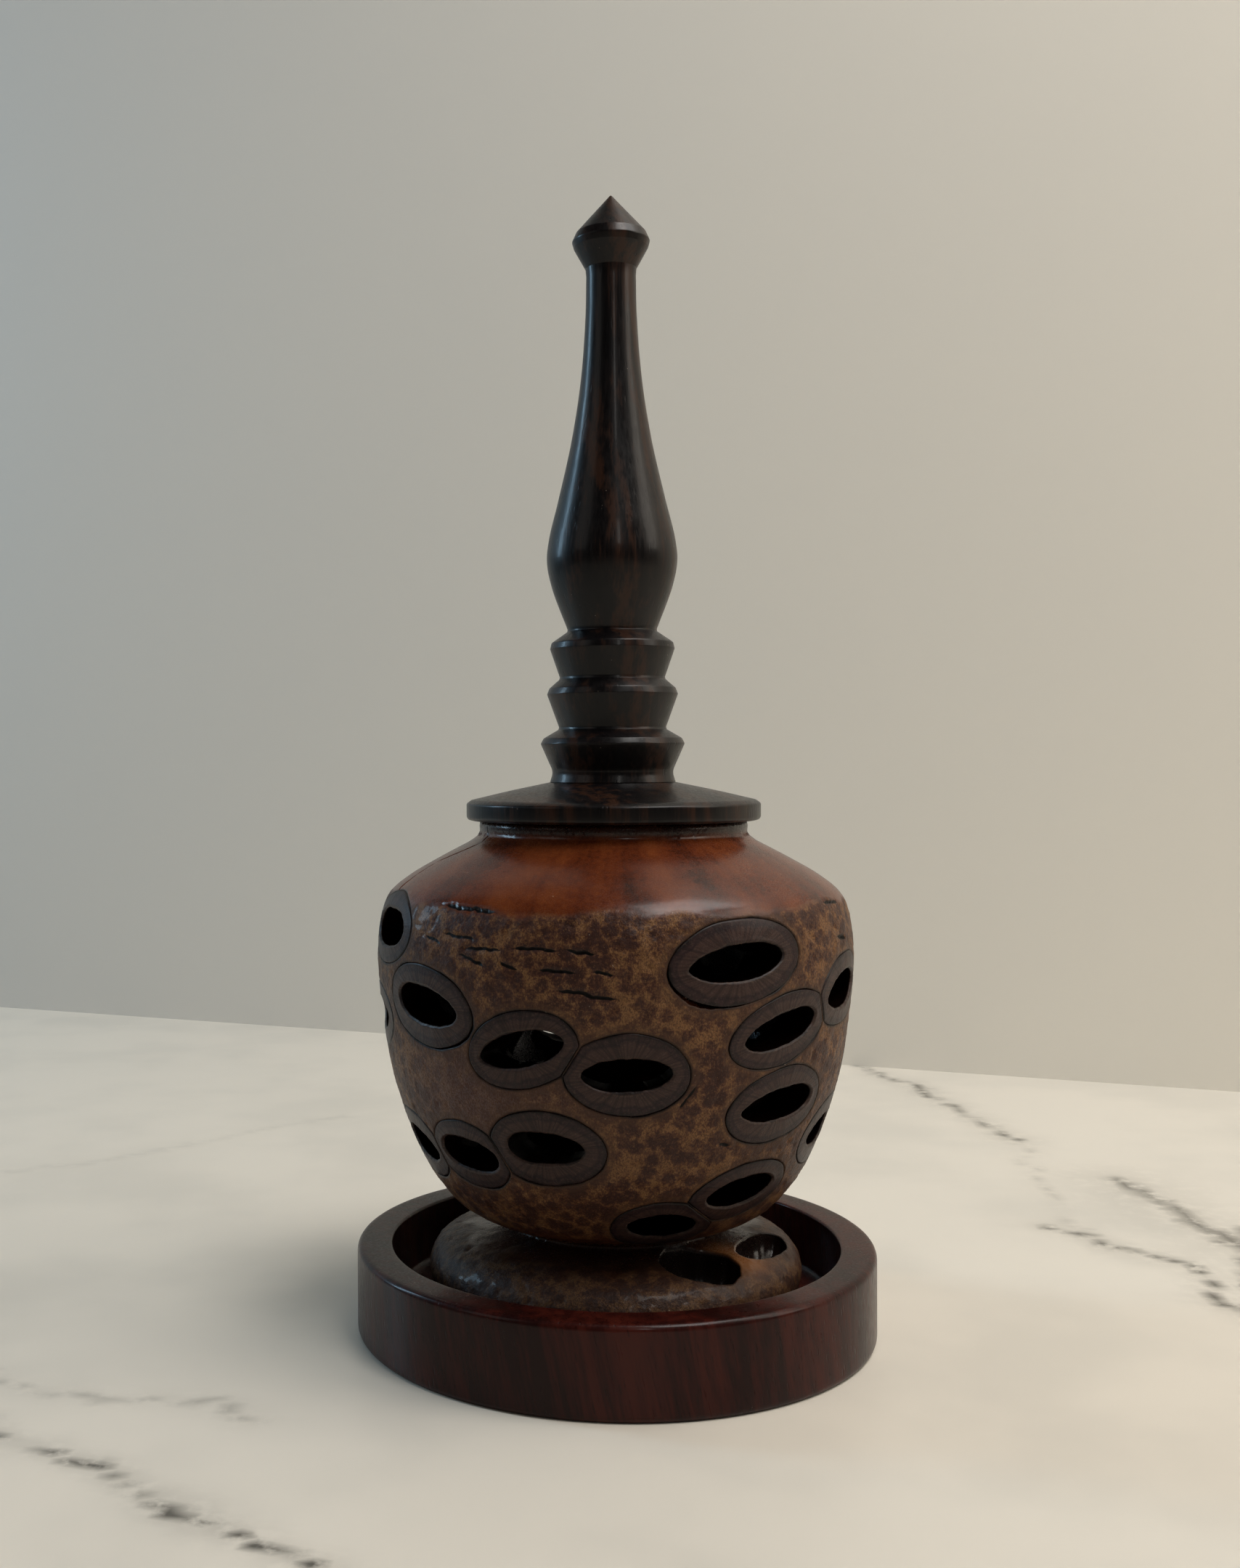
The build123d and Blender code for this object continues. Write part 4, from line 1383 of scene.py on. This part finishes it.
@dataclass(frozen=True)
class PodFinish:
    """Finish of the pot: polished shoulder and neck, net of cut bracts, dark cracks and seams, and painted
    shade and light.
    """
    name: str = "pod_skin"
    shoulder: tuple[Colour, Colour, Colour] = (tint(44, 18, 9), tint(84, 37, 16), tint(106, 53, 24))
    bracts: tuple[Colour, Colour, Colour, Colour] = (
        tint(122, 87, 55), tint(96, 64, 41), tint(73, 45, 32), tint(50, 29, 24))
    # Pinker bract tone on the lower left, greyed as a painted sheen from the left window.
    pale: Colour = tint(92, 72, 68)
    rind: Colour = tint(70, 48, 34)
    seam: Colour = tint(10, 6, 5)
    # Painted shade: near-black for the hollow's inside and the foot pockets' walls, where little light
    # reaches.
    hollow: Colour = tint(22, 11, 8)
    # Near-black painted shade: the lid's shadow on the top of the pot's neck, and the shade in the waist
    # groove.
    lid_and_waist_shade: Colour = tint(15, 7, 5)
    foot: Colour = tint(34, 24, 19)
    # Lighter woody valve between the foot pockets, brightened as a painted highlight on its bulge.
    bridge: Colour = tint(132, 88, 54)
    dust: Colour = tint(190, 176, 158)

    def material(self, effects: Effects) -> bpy.types.Material:
        """Build the material."""
        material, tree, shader = new_material(self.name)
        place = tree.place()
        bracts, crack = tree.mask("bracts"), tree.mask("crack")
        shoulder = self.shoulder_colour(tree, place)
        colour = tree.blend(shoulder, self.bract_colour(tree, place, effects), bracts)
        seam = tree.mask("seam")
        around = tree.math("SINE", tree.times(seam, 7.5))
        rind = tree.times(tree.span(seam, 0.3, 2.4, 0.8, 0.0), tree.span(around, -1.0, 1.0, 0.45, 1.0))
        rind = tree.times(rind, tree.span(bracts, 0.2, 0.8, 0.3, 1.0))
        faint = tree.span(tree.noise(place, 4.5, 2.0), 0.4, 0.6, 0.35, 0.95)
        gap = tree.times(tree.span(seam, 0.04, 0.42, 1.0, 0.0), faint)
        colour = tree.blend(colour, self.rind, rind)
        colour = tree.blend(colour, self.seam, gap)
        colour = tree.blend(colour, self.seam, tree.span(crack, 0.06, 0.4))
        colour = tree.blend(colour, self.foot, tree.times(tree.mask("foot"), 0.55))
        # Painted highlight on the foot's bridge, over its lighter valve wood.
        colour = tree.blend(colour, self.bridge, tree.times(tree.mask("bridge"), 0.9))
        # Painted shade over the hollow's surfaces and the pockets' walls.
        colour = tree.blend(colour, self.hollow, tree.mask("hidden"))
        dust = tree.effect(effects.dust, {"Place": place})["Specks"]
        colour = tree.blend(colour, self.dust, tree.times(dust, 0.45))
        stipple = tree.noise(place, 0.22, 2.0, 0.7)
        rough = tree.span(bracts, 0.0, 1.0, 0.24, 0.48)
        rough = tree.plus(rough, tree.span(stipple, 0.3, 0.7, -0.03, 0.08))
        fine = tree.plus(tree.times(stipple, 0.5), tree.noise(place, 0.7, 3.0))
        height = tree.times(fine, tree.span(bracts, 0.0, 1.0, 0.05, 1.0))
        tree.feed(shader, {"Base Color": colour, "Roughness": rough, "Normal": tree.bump(height, 0.16),
                           "Coat Weight": 0.08, "Coat Roughness": 0.12,
                           "Specular IOR Level": tree.span(bracts, 0.0, 1.0, 0.28, 0.16)})
        return material

    def shoulder_colour(self, tree: Tree, place: Socket) -> Socket:
        """Mottled orange-brown with darker bands that run up the shoulder, with painted shade under the lid
        and in the waist groove.
        """
        flat = tree.scaled(place, 1.0, 1.0, 0.0)
        outwards = tree.vectors("NORMALIZE", flat)
        bands = tree.noise(tree.scaled(outwards, 30.0, 30.0, 30.0), 6.0, 3.0, 0.55)
        mottle = tree.noise(place, 0.8, 4.0, 0.7)
        spots = tree.noise(place, 6.0, 2.0)
        value = tree.span(bands, 0.3, 0.6, 0.05, 0.55)
        value = tree.plus(value, tree.span(mottle, 0.3, 0.7, -0.2, 0.2))
        value = tree.plus(value, tree.span(spots, 0.3, 0.7, 0.0, 0.35))
        colour = tree.stops(value, zip((0.0, 0.5, 1.0), self.shoulder))
        height = tree.make("ShaderNodeSeparateXYZ", {"Vector": place}).outputs["Z"]
        # Painted shadow of the lid over the upper part of the pot's neck.
        colour = tree.blend(colour, self.lid_and_waist_shade, tree.span(height, 80.3, 81.6, 0.0, 0.85))
        # Painted shade in the waist groove under the belly.
        low = tree.times(tree.span(height, 21.0, 17.5), tree.span(height, 14.0, 15.5))
        return tree.blend(colour, self.lid_and_waist_shade, tree.times(low, 0.6))

    def bract_colour(self, tree: Tree, place: Socket, effects: Effects) -> Socket:
        """Yellow-brown net round dark reddish blotches, paler and pinker in one place, where a pinker tone
        carries a painted greyish sheen.
        """
        net = tree.effect(effects.bracts, {"Place": place})
        colour = tree.stops(net["Blotches"], zip((0.0, 0.34, 0.66, 1.0), self.bracts))
        colour = tree.blend(colour, self.bracts[3], tree.span(net["Stipple"], 0.42, 0.66, 0.0, 0.72))
        colour = tree.blend(colour, self.bracts[0], tree.span(net["Stipple"], 0.41, 0.26, 0.0, 0.65))
        worn = tree.span(net["Stipple"], 0.38, 0.62)
        # Painted sheen: the patch goes greyish pink.
        pale = tree.blend(self.pale, self.bracts[2], worn)
        return tree.blend(colour, pale, tree.times(tree.mask("pale"), 0.8))


@dataclass(frozen=True)
class RingFinish:
    """Finish of the woody rings: grey-brown by the slot, purplish further out, and in the slot dark red-brown
    darkened by painted shade.
    """
    name: str = "woody_ring"
    bands: tuple[tuple[float, Colour], ...] = (
        (0.0, tint(30, 20, 18)), (0.05, tint(64, 49, 42)), (0.14, tint(53, 37, 33)), (0.54, tint(60, 42, 37)),
        (0.68, tint(34, 21, 24)), (0.82, tint(47, 31, 30)), (0.94, tint(31, 19, 20)), (1.0, tint(15, 8, 8)))
    # Slot walls: dark red-brown wood, darkened to near black as painted shade.
    slot: Colour = tint(15, 5, 3)
    stipple: Colour = tint(88, 71, 61)
    ray: Colour = tint(24, 16, 17)

    def material(self) -> bpy.types.Material:
        """Build the material."""
        material, tree, shader = new_material(self.name)
        place = tree.place()
        across, depth = tree.mask("across"), tree.mask("depth")
        axes = {"X": tree.mask("around_x"), "Y": tree.mask("around_y"), "Z": 0.0}
        around = tree.make("ShaderNodeCombineXYZ", axes).outputs[0]
        rays = tree.noise(tree.scaled(around, 18.0, 18.0, 1.0), 1.0, 2.0, 0.6)
        wander = tree.noise(place, 2.6, 2.0)
        shifted = tree.plus(across, tree.span(wander, 0.3, 0.7, -0.09, 0.09))
        colour = tree.stops(shifted, self.bands)
        stipple = tree.noise(place, 0.28, 2.0, 0.7)
        colour = tree.blend(colour, self.stipple, tree.span(stipple, 0.5, 0.72, 0.0, 0.35))
        colour = tree.blend(colour, self.ray, tree.span(rays, 0.42, 0.62, 0.0, 0.6))
        # Painted shade down the slot's walls, over their dark red-brown.
        colour = tree.blend(colour, self.slot, depth)
        height = tree.plus(tree.times(rays, 0.5), tree.times(stipple, 0.5))
        tree.feed(shader, {"Base Color": colour, "Roughness": tree.span(depth, 0.0, 1.0, 0.46, 0.28),
                           "Normal": tree.bump(height, 0.09), "Coat Roughness": 0.2,
                           "Coat Weight": tree.span(depth, 0.05, 0.3, 0.08, 0.0),
                           "Specular IOR Level": tree.span(depth, 0.05, 0.3, 0.18, 0.02)})
        return material


DISH_WOOD = TurnedWoodFinish("dish_wood", tint(29, 8, 6), tint(44, 13, 9), tint(60, 21, 14),
                             lean=(0.030, 0.022, 0.0), grain=(0.0, math.radians(12.0), 0.0),
                             dust_share=0.3, shine=0.12, contrast=0.9)
LID_WOOD = TurnedWoodFinish("dark_lid_wood", tint(7, 5, 6), tint(14, 9, 9), tint(44, 25, 15),
                            lean=(0.085, 0.040, 0.012), roughness=0.34, coat=0.1, coat_roughness=0.12,
                            pore_share=0.4, dust_share=0.6, shine=0.2)


# ---------------------------------------------------------------- studio
@dataclass(frozen=True)
class Vein:
    """A grey vein in the marble table, in millimetres."""
    path: tuple[Point, ...]
    width: float
    strength: float


MARBLE_VEINS = [
    Vein(((70, 236), (85, 190), (91, 163), (97, 131)), 0.9, 0.75),
    Vein(((97, 131), (92, 80), (91, 52)), 0.8, 0.25),
    Vein(((86, 60), (94, 46), (104, 37), (103, 18), (110, 0)), 0.8, 0.8),
    Vein(((110, 95), (114, 70), (118, 48), (128, 30)), 2.2, 0.7),
    Vein(((125, 62), (117, 40), (111, 22)), 1.2, 0.6),
    Vein(((-104, -36), (-86, -49), (-76, -56), (-57, -69), (-42, -80), (-28, -90)), 0.55, 0.95),
    Vein(((-96, -30), (-77, -38), (-64, -37), (-49, -45)), 0.7, 0.35),
    Vein(((-190, 60), (-120, 96), (-70, 150)), 1.5, 0.12),
]


@dataclass(frozen=True)
class AreaLight:
    """A soft light that faces a place on the object. Places and sizes are in metres."""
    name: str
    location: tuple[float, float, float]
    aim: tuple[float, float, float]
    size: tuple[float, float]
    power: float
    colour: tuple[float, float, float]
    spread: float = 180.0

    def build(self) -> bpy.types.Object:
        """Make the light."""
        data = bpy.data.lights.new(self.name, "AREA")
        data.shape = "RECTANGLE"
        data.size, data.size_y = self.size
        data.energy = self.power
        data.color = self.colour
        data.spread = math.radians(self.spread)
        light = bpy.data.objects.new(self.name, data)
        light.location = self.location
        light.rotation_euler = (Vector(self.aim) - Vector(self.location)).to_track_quat("-Z", "Y").to_euler()
        bpy.context.scene.collection.objects.link(light)
        return light


@dataclass(frozen=True)
class Studio:
    """The marble table, the pale wall behind it, the lights and the camera. Sizes in metres."""
    camera_distance: float = 0.2684
    camera_height: float = 0.0935
    camera_turn: float = 0.0793
    camera_pitch: float = -0.018
    camera_roll: float = 0.0047
    lens: float = 37.43
    shift_x: float = 0.0874
    wall_ends: tuple[Point, Point] = ((-0.227, 0.3226), (0.171, 0.1923))
    wall_height: float = 1.6
    half_width: float = 2.2
    marble: tuple[Colour, Colour, Colour] = (tint(224, 217, 204), tint(214, 208, 196), tint(92, 88, 80))
    # Two warm pale wall colours, then a greyer one that is painted shade for the wall's left end.
    paint_and_shade: tuple[Colour, Colour, Colour] = (tint(240, 233, 219), tint(234, 228, 216), tint(208, 204, 198))
    room_colour: Colour = (0.82, 0.86, 0.92, 1.0)
    room_strength: float = 0.03
    lights: tuple[AreaLight, ...] = (
        AreaLight("wall_wash", (0.5, -0.5, 1.3), (0.3, 0.2, 0.3), (0.5, 0.5), 1.95, (1.0, 0.985, 0.95), 95.0),
        AreaLight("overhead", (0.35, 0.0, 0.8), (0.2, 0.1, 0.0), (0.55, 0.35), 3.4, (1.0, 0.965, 0.94)),
        AreaLight("right_window", (0.78, -0.05, 0.55), (0.1, 0.1, 0.1), (0.55, 0.55), 3.4, (1.0, 0.91, 0.80)),
        AreaLight("left_window", (-0.85, 0.24, 0.40), (0.0, 0.0, 0.08), (0.13, 0.40), 2.2, (0.50, 0.77, 1.0)),
        AreaLight("front_window", (0.22, -0.95, 0.62), (0.0, 0.0, 0.12), (0.08, 0.3), 0.5, (1.0, 0.97, 0.92)),
        AreaLight("left_bounce", (-0.95, -0.6, 0.7), (0.0, 0.0, 0.08), (0.5, 0.7), 0.75, (1.0, 0.95, 0.88)))

    def plane(self, name: str, corners: list[tuple[float, float, float]]) -> bpy.types.Object:
        """Make a flat staging surface."""
        mesh = bpy.data.meshes.new(name)
        mesh.from_pydata(corners, [], [tuple(range(len(corners)))])
        plane = bpy.data.objects.new(name, mesh)
        bpy.context.scene.collection.objects.link(plane)
        return plane

    def table_material(self) -> bpy.types.Material:
        """Pale marble with soft grey veins."""
        material, tree, shader = new_material("marble_table")
        place = tree.place()
        vein = tree.mask("vein")
        broken = tree.span(tree.noise(place, 4.0, 4.0, 0.6), 0.30, 0.55, 0.25, 1.0)
        cloud = tree.noise(place, 45.0, 3.0)
        pale, cloudy, grey = self.marble
        colour = tree.blend(pale, cloudy, tree.span(cloud, 0.4, 0.7))
        colour = tree.blend(colour, grey, tree.times(vein, broken))
        tree.feed(shader, {"Base Color": colour, "Roughness": 0.45})
        return material

    def wall_line(self, x: float | np.ndarray) -> float | np.ndarray:
        """Y of the wall at these places along X."""
        (left_x, left_y), (right_x, right_y) = self.wall_ends
        slope = (right_y - left_y) / (right_x - left_x)
        return left_y + (x - left_x) * slope

    def table(self) -> bpy.types.Object:
        """Make the table top, finely divided near the object so that it can carry the veins."""
        side = self.half_width
        across = np.concatenate([[-side, -0.9], np.arange(-0.36, 0.3601, 0.0025), [0.9, side]])
        shares = np.concatenate([[0.0, 0.6], np.linspace(0.74, 1.0, 260), [1.25, 2.0]])
        x, share = np.meshgrid(across, shares)
        y = -1.6 + (self.wall_line(x) + 1.6) * share
        points = np.stack([x, y, np.zeros_like(x)], axis=2).reshape(-1, 3) / MM
        wide = len(across)
        faces = [(row * wide + k, row * wide + k + 1, (row + 1) * wide + k + 1, (row + 1) * wide + k)
                 for row in range(len(shares) - 1) for k in range(wide - 1)]
        table = link_mesh("table", points, faces, {"vein": self.vein_mask(points)})
        table.data.materials.append(self.table_material())
        return table

    def vein_mask(self, points: np.ndarray) -> np.ndarray:
        """Strength of the marble's veins at points on the table."""
        sway = np.stack([waves(points, 9.0, 31.0) + 0.5 * waves(points, 3.0, 32.0),
                         waves(points, 9.0, 33.0) + 0.5 * waves(points, 3.0, 34.0)], axis=1)
        places = points[:, :2] + 3.0 * sway
        mask = np.zeros(len(points))
        for vein in MARBLE_VEINS:
            for start, stop in zip(vein.path, vein.path[1:]):
                first, along = np.array(start), np.array(stop) - np.array(start)
                share = np.clip((places - first) @ along / (along @ along), 0.0, 1.0)
                away = np.linalg.norm(places - first - share[:, None] * along, axis=1)
                line = np.exp(-(away / vein.width) ** 2)
                halo = 0.22 * np.exp(-(away / (6.0 * vein.width)) ** 2)
                mask = np.maximum(mask, vein.strength * (line + halo))
        return mask

    def wall_material(self) -> bpy.types.Material:
        """Warm pale wall colour, with painted shade towards its left end, which can be looked through from
        behind.
        """
        material, tree, shader = new_material("pale_wall")
        place = tree.place()
        cloud = tree.noise(place, 160.0, 2.0)
        side = tree.make("ShaderNodeSeparateXYZ", {"Vector": place}).outputs["X"]
        pale, cloudy, shaded = self.paint_and_shade
        colour = tree.blend(pale, cloudy, cloud)
        # Painted shade: the wall darkens towards its left end, away from the lights on the right.
        colour = tree.blend(shaded, colour, tree.span(side, -330.0, 180.0, how=Interp.STRAIGHT))
        tree.feed(shader, {"Base Color": colour, "Roughness": 0.6})
        clear = tree.make("ShaderNodeBsdfTransparent", {}).outputs[0]
        behind = tree.make("ShaderNodeNewGeometry", {}).outputs["Backfacing"]
        mixed = tree.make("ShaderNodeMixShader", {0: behind, 1: shader.outputs[0], 2: clear}).outputs[0]
        tree.feed(material.node_tree.nodes["Material Output"], {"Surface": mixed})
        return material

    def build(self) -> None:
        """Make the staging, the lights and the camera."""
        self.table()
        ends = [(x, self.wall_line(x)) for x in (-self.half_width, self.half_width)]
        foot = [(*end, 0.0) for end in ends]
        top = [(*end, self.wall_height) for end in ends[::-1]]
        wall = self.plane("wall", foot + top)
        wall.data.materials.append(self.wall_material())
        for light in self.lights:
            light.build()
        world = bpy.data.worlds.new("room")
        world.use_nodes = True
        background = world.node_tree.nodes["Background"]
        background.inputs["Color"].default_value = self.room_colour
        background.inputs["Strength"].default_value = self.room_strength
        bpy.context.scene.world = world
        bpy.context.scene.view_settings.view_transform = "Standard"
        self.build_camera()

    def build_camera(self) -> None:
        """Make the camera."""
        data = bpy.data.cameras.new("camera")
        data.lens = self.lens
        data.sensor_width = 36.0
        data.shift_x = self.shift_x
        data.clip_start = 0.01
        camera = bpy.data.objects.new("camera", data)
        camera.location = (0.0, -self.camera_distance, self.camera_height)
        ahead = Euler((math.pi / 2.0 + self.camera_pitch, self.camera_roll, self.camera_turn), "XYZ")
        camera.rotation_euler = ahead
        bpy.context.scene.collection.objects.link(camera)
        bpy.context.scene.camera = camera


# ---------------------------------------------------------------- assembly
def mount(piece: bpy.types.Object, body: str, nodes: Iterable[str],
          material: bpy.types.Material) -> None:
    """Give a piece its finish and let it stand for its CAD nodes on their body."""
    piece.data.materials.append(material)
    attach(piece, body)
    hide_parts(*nodes)
    log.info("%s: %d vertices, %d faces", piece.name, len(piece.data.vertices), len(piece.data.polygons))


def main() -> None:
    """Build every piece and its surroundings."""
    logging.basicConfig(level=logging.INFO)
    effects = Effects.make()
    mount(TurnedDish().build(), "dish", ["dish"], DISH_WOOD.material(effects))
    pot = ConePot()
    mount(pot.build(), "pot", ["pot_body"], PodFinish().material(effects))
    ring_finish = RingFinish().material()
    for follicle in FOLLICLES:
        mount(WoodyRing(follicle, pot).build(), "pot", [follicle.node], ring_finish)
    lid_finish = LID_WOOD.material(effects)
    mount(TurnedLidDisc().build(), "lid", ["lid_disc"], lid_finish)
    mount(TurnedFinial().build(), "lid", ["finial"], lid_finish)
    Studio().build()


if __name__ == "__main__":
    main()
